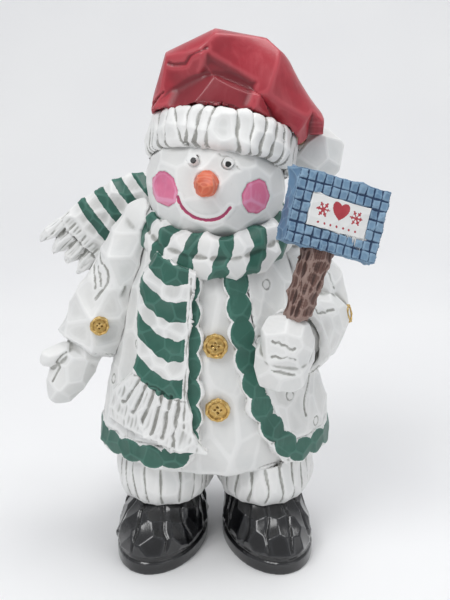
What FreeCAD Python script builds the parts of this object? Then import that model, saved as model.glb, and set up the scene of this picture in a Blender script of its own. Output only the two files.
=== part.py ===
import FreeCAD, Part
import math
import os

import Sketcher
from FreeCAD import Placement, Rotation, Vector

# A carved and painted wooden snowman figure, about 300 mm tall, as a bench-built assembly.
#
# The figure faces -Y, +Z is up, and the whole figure's box stands centred over the origin. Its own
# upright axis is at axis_x, axis_y of the sheet, and every place below is counted from that axis.
# "right" is the figure's own right hand, which is the -X side, and "left" is the +X side.
#
# Each carved block is one solid. The blocks are seated in each other and held by glued dowels.
# Run it as a FreeCAD macro: it writes parts/NODE.step for every sub-part.

doc = FreeCAD.newDocument("Snowman")
sheet = doc.addObject("Spreadsheet::Sheet", "Sizes")

# ---------------------------------------------------------------------------------------------
# The sheet: driving dimensions in millimetres and degrees
# ---------------------------------------------------------------------------------------------

SIZES = {
    # the figure's own axis in the frame
    "axis_x": 6.4,
    "axis_y": 14.0,
    # coat and tunic
    "trim_width": 12.0,
    "trim_hem_top_z": 75.5,
    "scallop_pitch": 14.5,
    "scallop_notch": 3.2,
    # boots, each in its own frame with the toe towards -Y
    "boot_x": 31.0,
    "boot_y": -21.5,
    "boot_splay": 13.0,
    "boot_half_length": 43.0,
    "boot_half_width": 25.5,
    "sole_height": 7.0,
    "welt_height": 2.2,
    "welt_inset": 1.6,
    # head and face
    "head_x": 1.0,
    "head_y": -6.0,
    "head_z": 214.5,
    "head_half_width": 38.5,
    "head_half_depth": 37.5,
    "head_half_height": 36.5,
    "head_roll": 6.5,
    "eye_radius": 2.9,
    "eye_depth": 5.0,
    "nose_length": 17.0,
    "nose_base_radius": 6.6,
    "nose_tip_radius": 4.6,
    "nose_ring_step": 3.2,
    # hat
    "band_x": 4.0,
    "band_y": 1.5,
    "band_z": 233.5,
    "band_inner_radius": 31.5,
    "band_outer_radius": 42.0,
    "band_height": 23.5,
    "band_round": 4.5,
    "hat_tip_back": 26.0,
    "hat_tip_right": 8.5,
    "dome_x": 1.5,
    "dome_y": 4.0,
    "dome_z": 247.0,
    "dome_half_width": 36.0,
    "dome_half_depth": 35.5,
    "dome_half_height": 37.0,
    "pompom_x": 58.5,
    "pompom_y": 15.0,
    "pompom_z": 227.0,
    "pompom_radius": 15.5,
    # scarf
    "wrap_x": 1.5,
    "wrap_y": -9.0,
    "wrap_z": 193.5,
    "wrap_tilt": 19.0,
    "wrap_seam_turn": 90.0,
    "wrap_inner_radius": 28.0,
    "wrap_upper_radius": 31.5,
    "wrap_upper_half_thickness": 8.0,
    "wrap_upper_rise": 3.0,
    "wrap_lower_radius": 34.5,
    "wrap_lower_half_thickness": 8.5,
    "wrap_lower_drop": 4.2,
    "strand_count": 5.0,
    "strand_length": 22.0,
    "strand_radius": 4.2,
    # mittens
    "palm_half_width": 12.5,
    "palm_half_depth": 11.5,
    "palm_half_length": 22.5,
    "thumb_half_width": 6.0,
    "thumb_half_length": 10.5,
    "fist_thumb_half_length": 11.0,
    "cuff_wall": 4.0,
    "cuff_depth": 14.0,
    # sign
    "board_x": 62.5,
    "board_y": -55.0,
    "board_z": 208.5,
    "board_turn": 22.0,
    "board_lean_back": 12.0,
    "board_tilt": 19.0,
    "board_width": 54.0,
    "board_height": 38.5,
    "board_thickness": 11.0,
    "tile_columns": 11.0,
    "tile_rows": 7.0,
    "tile_frame": 2.0,
    "tile_groove": 0.7,
    "tile_groove_depth": 0.8,
    "plaque_thickness": 1.6,
    # buttons
    "button_radius": 7.0,
    "button_thickness": 2.6,
    "button_dish_radius": 4.9,
    "button_dish_depth": 1.1,
    "button_hole_radius": 0.7,
    "button_hole_circle": 1.7,
    "button_shank_radius": 1.5,
    "button_shank_length": 4.5,
    "button_upper_z": 134.5,
    "button_lower_z": 99.0,
    "button_upper_x": 0.8,
    "button_lower_x": 2.0,
    "sleeve_button_scale": 0.78,
    # dowels
    "dowel_radius": 4.0,
    "small_dowel_radius": 2.0,
    "neck_dowel_length": 44.0,
    "hat_dowel_length": 34.0,
    "leg_dowel_length": 62.0,
    "shoulder_dowel_length": 34.0,
    "wrist_dowel_length": 22.0,
    "pompom_dowel_length": 20.0,
    "tail_dowel_length": 22.0,
}

# Stations of the lofted blocks: centre x, y, z, then half of the wide way and half of the other.
STATIONS = {
    "tunic": [
        (0, -5, 57, 58.0, 46.0),
        (0, -5, 70, 61.0, 48.5),
        (0, -5, 100, 57.0, 48.5),
        (0, -5, 136, 48.0, 43.5),
        (0, -4.5, 165, 39.5, 36.0),
        (0, -4, 190, 30.0, 28.0),
    ],
    "coat": [
        (0, -5, 62, 67.5, 54.0),
        (0, -5, 80, 66.0, 54.5),
        (0, -5, 102, 61.5, 53.0),
        (0, -5, 136, 53.0, 48.0),
        (0, -4.5, 165, 45.5, 41.5),
        (0, -4, 188, 37.0, 33.5),
    ],
    "tail_cover": [
        (0, -5, 62, 73.5, 60.0),
        (0, -5, 80, 72.0, 60.5),
        (0, -5, 102, 67.5, 59.0),
        (0, -5, 136, 59.0, 54.0),
        (0, -4.5, 160, 54.0, 49.5),
        (0, -4, 173, 53.0, 49.0),
        (0, -4, 188, 48.0, 44.5),
    ],
    "leg": [
        (29.6, -8, 31, 31.5, 25.0),
        (29.6, -8, 37, 36.5, 28.5),
        (29.6, -7, 47, 38.5, 29.4),
        (29.6, -6, 62, 36.5, 28.0),
    ],
    "sleeve_right": [
        (-40, -2, 192, 13.0, 12.0),
        (-50, -3, 172, 16.0, 15.0),
        (-61, -5, 148, 17.5, 16.0),
        (-73, -9, 121, 19.5, 16.5),
    ],
    "upper_arm_left": [
        (44, -1, 187, 14.0, 13.0),
        (52, 1, 166, 16.0, 15.5),
        (60, 2, 145, 17.0, 16.5),
        (62, 0, 128, 13.0, 13.0),
    ],
    "forearm_left": [
        (64, 6, 135, 11.5, 11.5),
        (62, -7, 135, 17.0, 16.0),
        (54, -27, 135, 19.5, 16.5),
        (46, -44, 134, 21.0, 16.5),
    ],
    "fist": [
        (33.6, -62.8, 115.5, 8.0, 7.5),
        (34.8, -62.0, 121, 13.2, 12.5),
        (37.3, -60.5, 132, 15.5, 14.5),
        (39.8, -59.0, 143.5, 13.5, 13.0),
        (41.3, -58.2, 150.5, 9.5, 9.0),
    ],
    "slouch": [
        (-20, 2, 252, 13.0, 13.0),
        (-15, 0, 272, 15.5, 15.5),
        (6, -3, 283, 16.5, 16.5),
        (28, -4, 271, 16.0, 16.0),
        (39, -2, 254, 13.0, 13.0),
        (45, 3, 238, 9.5, 9.5),
    ],
    "back_tail": [
        (-22, 22, 203, 12.0, 5.0),
        (-40, 27, 201, 14.0, 5.0),
        (-60, 30, 191, 16.0, 5.5),
        (-80, 31, 171, 19.0, 6.0),
    ],
    "post": [
        (37.0, -71.5, 138, 6.2, 5.6),
        (44.0, -66.5, 160, 7.0, 6.2),
        (51.5, -60.5, 184, 8.2, 7.0),
        (54.5, -58.0, 194, 8.2, 7.0),
    ],
}


# Corners of the outlines that are drawn in the front view: x, z.
OUTLINES = {
    "edge_right": [(-8, 200), (-8, 172), (-8, 84), (-12, 70), (-22, 58), (-22, 52)],
    "edge_left": [
        (5, 200),
        (5, 170),
        (9.5, 140),
        (14, 120),
        (21.5, 96),
        (29, 79),
        (40, 62),
        (40, 52),
    ],
    "tail": [
        (-31, 184),
        (-9, 176),
        (-12, 160),
        (-14.5, 110),
        (-11, 88),
        (-4, 76),
        (-21, 78),
        (-42, 83),
        (-61, 86),
        (-58, 101),
        (-45, 116),
        (-42, 130),
        (-40.5, 165),
    ],
}


def fill_sheet():
    """Writes SIZES, STATIONS and OUTLINES into the sheet, one row each, with an alias for every cell."""
    row = 1
    table = dict(SIZES)
    for name, corners in OUTLINES.items():
        for i, (x, z) in enumerate(corners, 1):
            table[f"{name}_corner_x_{i}"] = float(x)
            table[f"{name}_corner_z_{i}"] = float(z)
    for name, stations in STATIONS.items():
        for i, station in enumerate(stations, 1):
            for part, value in zip(("x", "y", "z", "wide", "deep"), station):
                table[f"{name}_{part}_{i}"] = float(value)
    for alias, value in table.items():
        sheet.set(f"A{row}", alias)
        sheet.set(f"B{row}", str(value))
        sheet.setAlias(f"B{row}", alias)
        row += 1
    doc.recompute()


fill_sheet()


def cell(alias):
    """The number in the sheet's cell of that alias."""
    return float(sheet.get(alias))


# ---------------------------------------------------------------------------------------------
# Small builders
# ---------------------------------------------------------------------------------------------


def bind(obj, **expressions):
    """Binds each property of obj to an expression; a bare alias is read from the sheet."""
    for name, expression in expressions.items():
        obj.setExpression(name, expression)
    return obj


def put(obj, x, y, z, rotation=None):
    """Stands obj at x, y, z from the figure's axis. Each is an expression of the sheet or a number."""
    obj.Placement = Placement(Vector(), rotation or Rotation())
    obj.setExpression("Placement.Base.x", f"Sizes.axis_x + ({x})")
    obj.setExpression("Placement.Base.y", f"Sizes.axis_y + ({y})")
    obj.setExpression("Placement.Base.z", f"{z}")
    return obj


def ball(name, half_width, half_depth, half_height, x, y, z, rotation=None):
    """An ellipsoid of the named half sizes."""
    obj = doc.addObject("Part::Ellipsoid", name)
    bind(obj, Radius2=half_width, Radius3=half_depth, Radius1=half_height)
    obj.Angle1, obj.Angle2, obj.Angle3 = -90, 90, 360
    return put(obj, x, y, z, rotation)


def rod(name, radius, length, x, y, z, direction=(0, 0, 1), start=-0.5):
    """A round rod through x, y, z along direction; start is where it begins, as a share of its length."""
    obj = doc.addObject("Part::Cylinder", name)
    bind(obj, Radius=radius, Height=length)
    along = Vector(*direction).normalize()
    base = [
        f"{place} + ({start * part:.6f}) * ({length})"
        for place, part in zip((x, y, z), (along.x, along.y, along.z))
    ]
    return put(obj, *base, Rotation(Vector(0, 0, 1), along))


def block(name, length, width, height, x, y, z):
    """A box with its lowest corner at x, y, z."""
    obj = doc.addObject("Part::Box", name)
    obj.Length, obj.Width, obj.Height = length, width, height
    return put(obj, x, y, z)


def cut(name, base, *tools, refine=True):
    """base less every tool, one cut after the other. refine joins the faces that a cut has split."""
    for i, tool in enumerate(tools, 1):
        obj = doc.addObject("Part::Cut", name if i == len(tools) else f"{name}_{i}")
        obj.Base, obj.Tool, obj.Refine = base, tool, refine
        base = obj
    return base


def fuse(name, *shapes):
    obj = doc.addObject("Part::MultiFuse", name)
    obj.Shapes = list(shapes)
    return obj


def common(name, *shapes):
    obj = doc.addObject("Part::MultiCommon", name)
    obj.Shapes = list(shapes)
    return obj


def tangent_at(points, i):
    """The direction of a row of points at the i-th one."""
    return (points[min(i + 1, len(points) - 1)] - points[max(i - 1, 0)]).normalize()


def loft(name, table, level=False, mirror=False, wide=Vector(1, 0, 0)):
    """A solid through the ovals of one table of stations.

    level keeps every oval flat; otherwise each stands across the path, with its wide way nearest to wide.
    mirror swaps the side of the figure that it is on.
    """
    side = -1 if mirror else 1
    stations = STATIONS[table]
    points = [Vector(side * s[0], s[1], s[2]) for s in stations]
    ovals = []
    for i in range(1, len(stations) + 1):
        oval = doc.addObject("Part::Ellipse", f"{name}_oval_{i}")
        bind(oval, MajorRadius=f"Sizes.{table}_wide_{i}", MinorRadius=f"Sizes.{table}_deep_{i}")
        up = Vector(0, 0, 1) if level else tangent_at(points, i - 1)
        turn = Rotation(wide, Vector(), up, "ZXY")
        put(oval, f"{side} * Sizes.{table}_x_{i}", f"Sizes.{table}_y_{i}", f"Sizes.{table}_z_{i}", turn)
        ovals.append(oval)
    obj = doc.addObject("Part::Loft", name)
    obj.Sections, obj.Solid, obj.Ruled = ovals, True, False
    return obj


def plane_of(body, role):
    """One of a body's own origin planes."""
    return next(f for f in body.Origin.OriginFeatures if f.Role == role)


def sketch_in(body, name, role):
    sketch = body.newObject("Sketcher::SketchObject", name)
    sketch.AttachmentSupport = [(plane_of(body, role), "")]
    sketch.MapMode = "FlatFace"
    return sketch


def polygon(sketch, points):
    """Draws a closed outline through points, each corner held where it is by its distances."""
    count = len(points)
    for i, (x, y) in enumerate(points):
        ahead = points[(i + 1) % count]
        sketch.addGeometry(Part.LineSegment(Vector(x, y, 0), Vector(*ahead, 0)), False)
    for i in range(count):
        sketch.addConstraint(Sketcher.Constraint("Coincident", i, 2, (i + 1) % count, 1))
    return sketch


def hold_corner(sketch, edge, x=None, y=None):
    """Binds the start of an edge to expressions of the sheet, counted from the sketch's origin."""
    for kind, expression in (("DistanceX", x), ("DistanceY", y)):
        if expression is None:
            continue
        start = sketch.Geometry[edge].StartPoint
        value = start.x if kind == "DistanceX" else start.y
        index = sketch.addConstraint(Sketcher.Constraint(kind, -1, 1, edge, 1, value))
        sketch.setExpression(f"Constraints[{index}]", expression)


def revolved(body, name, sketch, axis="V_Axis"):
    feature = body.newObject("PartDesign::Revolution", name)
    feature.Profile = sketch
    feature.ReferenceAxis = (sketch, [axis])
    feature.Angle = 360
    return feature


def padded(body, name, sketch, length, reverse=False):
    feature = body.newObject("PartDesign::Pad", name)
    feature.Profile = sketch
    feature.setExpression("Length", length)
    feature.Reversed = reverse
    return feature


def half_oval(name, table, i, sign):
    """The left or right half of one level oval of a table, closed by a straight edge on the middle line."""
    wide, deep = STATIONS[table][i - 1][3:]
    sketch = doc.addObject("Sketcher::SketchObject", name)
    oval = Part.Ellipse(Vector(wide, 0, 0), Vector(0, deep, 0), Vector(0, 0, 0))
    begin = -sign * math.pi / 2
    sketch.addGeometry(Part.ArcOfEllipse(oval, begin, begin + math.pi), False)
    sketch.exposeInternalGeometry(0)
    sketch.addConstraint(Sketcher.Constraint("Coincident", 0, 3, -1, 1))
    sketch.addConstraint(Sketcher.Constraint("PointOnObject", 1, 1, -1))
    sketch.addConstraint(Sketcher.Constraint("PointOnObject", 0, 1, -2))
    sketch.addConstraint(Sketcher.Constraint("PointOnObject", 0, 2, -2))
    seam = len(sketch.Geometry)
    arc = sketch.Geometry[0]
    sketch.addGeometry(Part.LineSegment(arc.EndPoint, arc.StartPoint), False)
    sketch.addConstraint(Sketcher.Constraint("Coincident", 0, 2, seam, 1))
    sketch.addConstraint(Sketcher.Constraint("Coincident", seam, 2, 0, 1))
    for line, half, size in ((1, "wide", wide), (2, "deep", deep)):
        index = sketch.addConstraint(Sketcher.Constraint("Distance", line, 2 * size))
        sketch.setExpression(f"Constraints[{index}]", f"2 * Sizes.{table}_{half}_{i}")
    return put(sketch, "0", f"Sizes.{table}_y_{i}", f"Sizes.{table}_z_{i}")


def half_loft(name, table, sign):
    """The left or right half of a level loft, flat on the figure's middle plane."""
    obj = doc.addObject("Part::Loft", name)
    obj.Sections = [half_oval(f"{name}_{i}", table, i, sign) for i in range(1, len(STATIONS[table]) + 1)]
    obj.Solid, obj.Ruled = True, False
    return obj


SUBPARTS = []


def subpart(obj, label):
    """Marks obj as the sub-part that is written to parts/label.step."""
    obj.Label = label
    SUBPARTS.append(obj)
    return obj


# ---------------------------------------------------------------------------------------------
# Dowels: made first, because the blocks are bored for them
# ---------------------------------------------------------------------------------------------


def dowels():
    """Glued birch dowels at every seat. They are the same size as their bores."""
    made = {
        "neck_dowel": rod(
            "neck_dowel_rod", "Sizes.dowel_radius", "Sizes.neck_dowel_length", "Sizes.head_x", "-5", "185"
        ),
        "hat_dowel": rod(
            "hat_dowel_rod",
            "Sizes.dowel_radius",
            "Sizes.hat_dowel_length",
            "2.5",
            "-1",
            "250",
            (0.06, 0.2, 1),
        ),
        "pompom_dowel": rod(
            "pompom_dowel_rod",
            "Sizes.small_dowel_radius",
            "Sizes.pompom_dowel_length",
            "49",
            "7",
            "236",
            (14.5, 13.5, -10),
        ),
        "scarf_tail_dowel": rod(
            "scarf_tail_dowel_rod",
            "Sizes.small_dowel_radius",
            "Sizes.tail_dowel_length",
            "-24",
            "17",
            "198",
            (-0.7, 1.1, 0.35),
        ),
    }
    for side, sign in (("left", 1), ("right", -1)):
        made[f"leg_dowel_{side}"] = rod(
            f"leg_dowel_{side}_rod",
            "Sizes.dowel_radius",
            "Sizes.leg_dowel_length",
            f"{sign} * 27",
            "-7",
            "46",
        )
        made[f"shoulder_dowel_{side}"] = rod(
            f"shoulder_dowel_{side}_rod",
            "Sizes.dowel_radius",
            "Sizes.shoulder_dowel_length",
            f"{sign} * 38",
            "-3",
            "172",
            (sign, 0, -0.1),
        )
    made["wrist_dowel_right"] = rod(
        "wrist_dowel_right_rod",
        "Sizes.small_dowel_radius",
        "Sizes.wrist_dowel_length",
        "-73",
        "-9",
        "121",
        (-12, -4, -27),
    )
    made["wrist_dowel_left"] = rod(
        "wrist_dowel_left_rod",
        "Sizes.small_dowel_radius",
        "Sizes.wrist_dowel_length",
        "51",
        "-36",
        "134",
        (-10, -24, -1),
    )
    for label, obj in made.items():
        subpart(obj, label)
    return made


# ---------------------------------------------------------------------------------------------
# Boots and trouser legs
# ---------------------------------------------------------------------------------------------


def oval_sketch(body, name, height, half_length, half_width, shift="0"):
    """An oval outline at a height of the boot, with its long way fore and aft."""
    sketch = sketch_in(body, name, "XY_Plane")
    sketch.setExpression("AttachmentOffset.Base.z", height)
    sketch.setExpression("AttachmentOffset.Base.y", shift)
    oval = Part.Ellipse(Vector(0, 40, 0), Vector(25, 0, 0), Vector(0, 0, 0))
    sketch.addGeometry(oval, False)
    sketch.exposeInternalGeometry(0)
    sketch.addConstraint(Sketcher.Constraint("Coincident", 0, 3, -1, 1))
    sketch.addConstraint(Sketcher.Constraint("PointOnObject", 1, 1, -2))
    long_way = sketch.addConstraint(Sketcher.Constraint("Distance", 1, 80.0))
    short_way = sketch.addConstraint(Sketcher.Constraint("Distance", 2, 50.0))
    sketch.setExpression(f"Constraints[{long_way}]", f"2 * ({half_length})")
    sketch.setExpression(f"Constraints[{short_way}]", f"2 * ({half_width})")
    return sketch


def boot(side, sign):
    """A round-toed boot: sole, welt groove and upper, carved from one block."""
    body = doc.addObject("PartDesign::Body", f"boot_{side}_body")
    long_half, wide_half = "Sizes.boot_half_length", "Sizes.boot_half_width"
    padded(body, "sole", oval_sketch(body, "sole_outline", "0", long_half, wide_half), "Sizes.sole_height")
    inset = "Sizes.welt_inset"
    welt_line = oval_sketch(
        body, "welt_outline", "Sizes.sole_height", f"{long_half} - {inset}", f"{wide_half} - {inset}"
    )
    padded(body, "welt", welt_line, "Sizes.welt_height")
    # rise above the sole, cut in the length, cut in the width, and shift towards the heel
    steps = [
        (2.2, 0.6, 0.6, 0),
        (9.0, 2.0, 0.9, 0.8),
        (18.0, 8.5, 2.8, 5.5),
        (27.0, 16.5, 5.5, 11.0),
        (37.0, 21.5, 8.0, 13.5),
    ]
    outlines = [
        oval_sketch(
            body,
            f"upper_outline_{i}",
            f"Sizes.sole_height + {rise}",
            f"{long_half} - {shorter}",
            f"{wide_half} - {narrower}",
            str(shift),
        )
        for i, (rise, shorter, narrower, shift) in enumerate(steps, 1)
    ]
    upper = body.newObject("PartDesign::AdditiveLoft", "upper")
    upper.Profile = outlines[0]
    upper.Sections = outlines[1:]
    upper.Ruled = False
    put(
        body,
        f"{sign} * Sizes.boot_x",
        "Sizes.boot_y",
        "0",
        Rotation(Vector(0, 0, 1), sign * cell("boot_splay")),
    )
    return body


def legs_and_boots(pins, tunic):
    for side, sign in (("left", 1), ("right", -1)):
        blank = boot(side, sign)
        pin = pins[f"leg_dowel_{side}"]
        subpart(cut(f"boot_{side}_bored", blank, pin), f"boot_{side}")
        trouser = loft(f"leg_{side}_loft", "leg", level=True, mirror=sign < 0, wide=Vector(0, 1, 0))
        subpart(cut(f"leg_{side}_bored", trouser, blank, tunic, pin), f"trouser_leg_{side}")


# ---------------------------------------------------------------------------------------------
# Tunic, coat and its scalloped trim
# ---------------------------------------------------------------------------------------------


def corners_of(name, offset="0"):
    """The corners of one outline as expressions, moved sideways by offset."""
    return [
        (f"Sizes.{name}_corner_x_{i} + {offset}", f"Sizes.{name}_corner_z_{i}")
        for i in range(1, len(OUTLINES[name]) + 1)
    ]


def front_prism(name, corners):
    """An outline in the front view, as expressions, pulled from the middle to the figure's front."""
    sketch = doc.addObject("Sketcher::SketchObject", f"{name}_outline")
    numbers = [
        tuple(float(sheet.evalExpression(e.replace("Sizes.", ""))) for e in pair) for pair in corners
    ]
    polygon(sketch, numbers)
    for edge, (x, z) in enumerate(corners):
        hold_corner(sketch, edge, x=x, y=z)
    put(sketch, "0", "0", "0", Rotation(Vector(1, 0, 0), 90))
    prism = doc.addObject("Part::Extrusion", name)
    prism.Base, prism.DirMode, prism.LengthFwd, prism.Solid = sketch, "Normal", 90, True
    return prism


def notches(name, points, pitch, size):
    """V notches across a front edge at every pitch: they part its scallops."""
    made = []
    for (x0, z0), (x1, z1) in zip(points, points[1:]):
        length = math.hypot(x1 - x0, z1 - z0)
        for k in range(int(length / pitch)):
            share = (k + 0.5) * pitch / length
            prism = doc.addObject("Part::Prism", f"{name}_{len(made)}")
            prism.Polygon = 4
            prism.setExpression("Circumradius", size)
            prism.Height = 70
            lying = Rotation(Vector(1, 0, 0), -90)
            put(prism, x0 + share * (x1 - x0), -85, z0 + share * (z1 - z0), lying)
            made.append(prism)
    return fuse(name, *made)


def hem_notches(name, loft_table, pitch, size):
    """V notches round the hem, parting its scallops. They stand radially and miss the front opening."""
    first = STATIONS[loft_table][0]
    half_width, half_depth, z = first[3], first[4], first[2]
    girth = math.pi * (half_width + half_depth)
    count = int(girth / pitch)
    made = []
    for k in range(count):
        angle = 2 * math.pi * (k + 0.5) / count
        x, y = half_width * math.sin(angle), -half_depth * math.cos(angle) + first[1]
        outward = Vector(math.sin(angle), -math.cos(angle), 0)
        prism = doc.addObject("Part::Prism", f"{name}_{k}")
        prism.Polygon = 4
        prism.setExpression("Circumradius", size)
        prism.Height = 24
        put(prism, x - 12 * outward.x, y - 12 * outward.y, z, Rotation(Vector(0, 0, 1), outward))
        made.append(prism)
    return fuse(name, *made)


def coat(pins, tunic, head):
    """Two coat halves that meet at the back seam, each with a scalloped trim along front and hem."""
    outer = loft("coat_loft", "coat", level=True)
    inside = [tunic, head, pins["shoulder_dowel_left"], pins["shoulder_dowel_right"]]
    hem_z = STATIONS["coat"][0][2]
    inner = {side: corners_of(f"edge_{side}") for side in ("left", "right")}
    opening = front_prism("opening_prism", inner["right"] + inner["left"][::-1])
    hem_cuts = hem_notches("hem_notches", "coat", cell("scallop_pitch"), "Sizes.scallop_notch")
    hem = block("hem_space", 240, 240, 1, "-120", "-120", str(hem_z - 5))
    hem.setExpression("Height", f"Sizes.trim_hem_top_z - {hem_z - 5}")
    for side, sign in (("left", 1), ("right", -1)):
        over = corners_of(f"edge_{side}", f"{-3 * sign}")
        reach = corners_of(f"edge_{side}", f"{sign} * Sizes.trim_width")
        band = fuse(f"{side}_band_space", hem, front_prism(f"{side}_strip", over + reach[::-1]))
        half = cut(f"{side}_half_open", half_loft(f"coat_{side}_loft", "coat", sign), opening)
        edge_cuts = notches(
            f"{side}_edge_notches",
            OUTLINES[f"edge_{side}"][1:-1],
            cell("scallop_pitch"),
            "Sizes.scallop_notch",
        )
        trim = cut(f"{side}_trim", common(f"{side}_band", half, band), hem_cuts, edge_cuts, *inside)
        subpart(trim, f"coat_trim_{side}")
        subpart(cut(f"{side}_coat", half, band, *inside), f"coat_{side}")
    return outer


# ---------------------------------------------------------------------------------------------
# Head, face and hat
# ---------------------------------------------------------------------------------------------

def hat_turn():
    """The hat leans back and to the figure's left."""
    back = Rotation(Vector(1, 0, 0), -cell("hat_tip_back"))
    side = Rotation(Vector(0, 1, 0), cell("hat_tip_right"))
    return side.multiply(back)


def head_blank():
    """The head ball. Its poles face sideways and its seam backwards, clear of the dowels and the face."""
    roll = Rotation(Vector(0, 1, 0), cell("head_roll"))
    sideways = Rotation(Vector(0, 1, 0), Vector(), Vector(1, 0, 0), "ZXY")
    return ball(
        "head_blank",
        "Sizes.head_half_depth",
        "Sizes.head_half_height",
        "Sizes.head_half_width",
        "Sizes.head_x",
        "Sizes.head_y",
        "Sizes.head_z",
        roll.multiply(sideways),
    )


def nose():
    """A stub of carrot on a peg, with the growth rings cut round it."""
    body = doc.addObject("PartDesign::Body", "nose_body")
    sketch = sketch_in(body, "nose_profile", "XZ_Plane")
    base, tip, length, step = (
        cell("nose_base_radius"),
        cell("nose_tip_radius"),
        cell("nose_length"),
        cell("nose_ring_step"),
    )
    peg = [(0, -6), (3, -6), (3, 0)]
    carrot_side = [(base, 0), (tip, length - 3), (tip - 1.4, length - 0.8), (0, length)]
    polygon(sketch, peg + carrot_side)
    hold_corner(sketch, 3, x="Sizes.nose_base_radius")
    hold_corner(sketch, 4, x="Sizes.nose_tip_radius", y="Sizes.nose_length - 3")
    revolved(body, "nose_turned", sketch)
    # three shallow ring grooves
    groove_sketch = sketch_in(body, "nose_rings", "XZ_Plane")
    for k in range(3):
        z = 5 + k * step
        radius = base + (tip - base) * z / (length - 3)
        edge = len(groove_sketch.Geometry)
        corners = [(radius - 0.5, z), (radius + 1, z - 0.7), (radius + 1, z + 0.7)]
        for i in range(3):
            ahead = corners[(i + 1) % 3]
            groove_sketch.addGeometry(Part.LineSegment(Vector(*corners[i], 0), Vector(*ahead, 0)), False)
        for i in range(3):
            groove_sketch.addConstraint(
                Sketcher.Constraint("Coincident", edge + i, 2, edge + (i + 1) % 3, 1)
            )
    groove = body.newObject("PartDesign::Groove", "nose_grooves")
    groove.Profile = groove_sketch
    groove.ReferenceAxis = (groove_sketch, ["V_Axis"])
    groove.Angle = 360
    put(body, "-3.4", "-39.5", "222.5", Rotation(Vector(0, 0, 1), Vector(-0.1, -1, 0.04)))
    return body


def face(pins):
    """The head ball with its eyes and nose let in."""
    blank = head_blank()
    carrot = nose()
    eyes = {}
    for side, x, y, z in (("right", -10.8, -37.0, 234.2), ("left", 7.4, -37.2, 232.2)):
        outward = (x - 1.0, y + 6.0, z - 214.5)
        eyes[side] = rod(
            f"eye_{side}_peg", "Sizes.eye_radius", "Sizes.eye_depth", str(x), str(y), str(z), outward
        )
    return blank, carrot, eyes


def hat_band_body():
    """The rolled knitted band: a ring with rounded corners, turned about its own axis."""
    body = doc.addObject("PartDesign::Body", "band_body")
    sketch = sketch_in(body, "band_profile", "XZ_Plane")
    inner, outer, high = cell("band_inner_radius"), cell("band_outer_radius"), cell("band_height")
    polygon(sketch, [(inner, -high / 2), (outer, -high / 2), (outer, high / 2), (inner, high / 2)])
    hold_corner(sketch, 0, x="Sizes.band_inner_radius", y="-Sizes.band_height / 2")
    hold_corner(sketch, 1, x="Sizes.band_outer_radius", y="-Sizes.band_height / 2")
    hold_corner(sketch, 2, x="Sizes.band_outer_radius", y="Sizes.band_height / 2")
    hold_corner(sketch, 3, x="Sizes.band_inner_radius", y="Sizes.band_height / 2")
    ring = revolved(body, "band_turned", sketch)
    doc.recompute()
    rims = [
        f"Edge{i}"
        for i, edge in enumerate(ring.Shape.Edges, 1)
        if hasattr(edge.Curve, "Radius") and abs(edge.Curve.Radius - outer) < 0.01
    ]
    rounding = body.newObject("PartDesign::Fillet", "band_rims")
    rounding.Base = (ring, rims)
    rounding.setExpression("Radius", "Sizes.band_round")
    put(body, "Sizes.band_x", "Sizes.band_y", "Sizes.band_z", hat_turn())
    return body


def hat(pins, blank):
    """The red crown with its slouched fold, the ribbed band round it and the pompom on its tip."""
    band = hat_band_body()
    dome = ball(
        "crown_dome",
        "Sizes.dome_half_width",
        "Sizes.dome_half_depth",
        "Sizes.dome_half_height",
        "Sizes.dome_x",
        "Sizes.dome_y",
        "Sizes.dome_z",
    )
    slouch = loft("slouch_loft", "slouch", wide=Vector(0, 1, 0))
    pompom = ball(
        "pompom_ball",
        "Sizes.pompom_radius",
        "Sizes.pompom_radius",
        "Sizes.pompom_radius",
        "Sizes.pompom_x",
        "Sizes.pompom_y",
        "Sizes.pompom_z",
    )
    # the dome stops at the band's lower rim
    below = doc.addObject("Part::Cylinder", "below_band")
    below.Radius, below.Height = 90, 90
    turn = hat_turn()
    down = turn.multVec(Vector(0, 0, -(90 - 4)))
    put(
        below,
        f"Sizes.band_x + ({down.x:.4f})",
        f"Sizes.band_y + ({down.y:.4f})",
        f"Sizes.band_z + ({down.z:.4f})",
        turn,
    )
    dome_above = cut("dome_above_band", dome, below)
    pieces = [cut(f"{piece.Name}_clear", piece, blank, band) for piece in (dome_above, slouch)]
    band_part = cut("band_seated", band, blank)
    crown_blank = fuse("crown_blank", *pieces)
    crown = cut("crown_seated", crown_blank, pompom, pins["hat_dowel"], pins["pompom_dowel"])
    subpart(band_part, "hat_band")
    subpart(crown, "hat_crown")
    subpart(cut("pompom_bored", pompom, pins["pompom_dowel"]), "hat_pompom")
    return band


# ---------------------------------------------------------------------------------------------
# Scarf
# ---------------------------------------------------------------------------------------------


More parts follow.
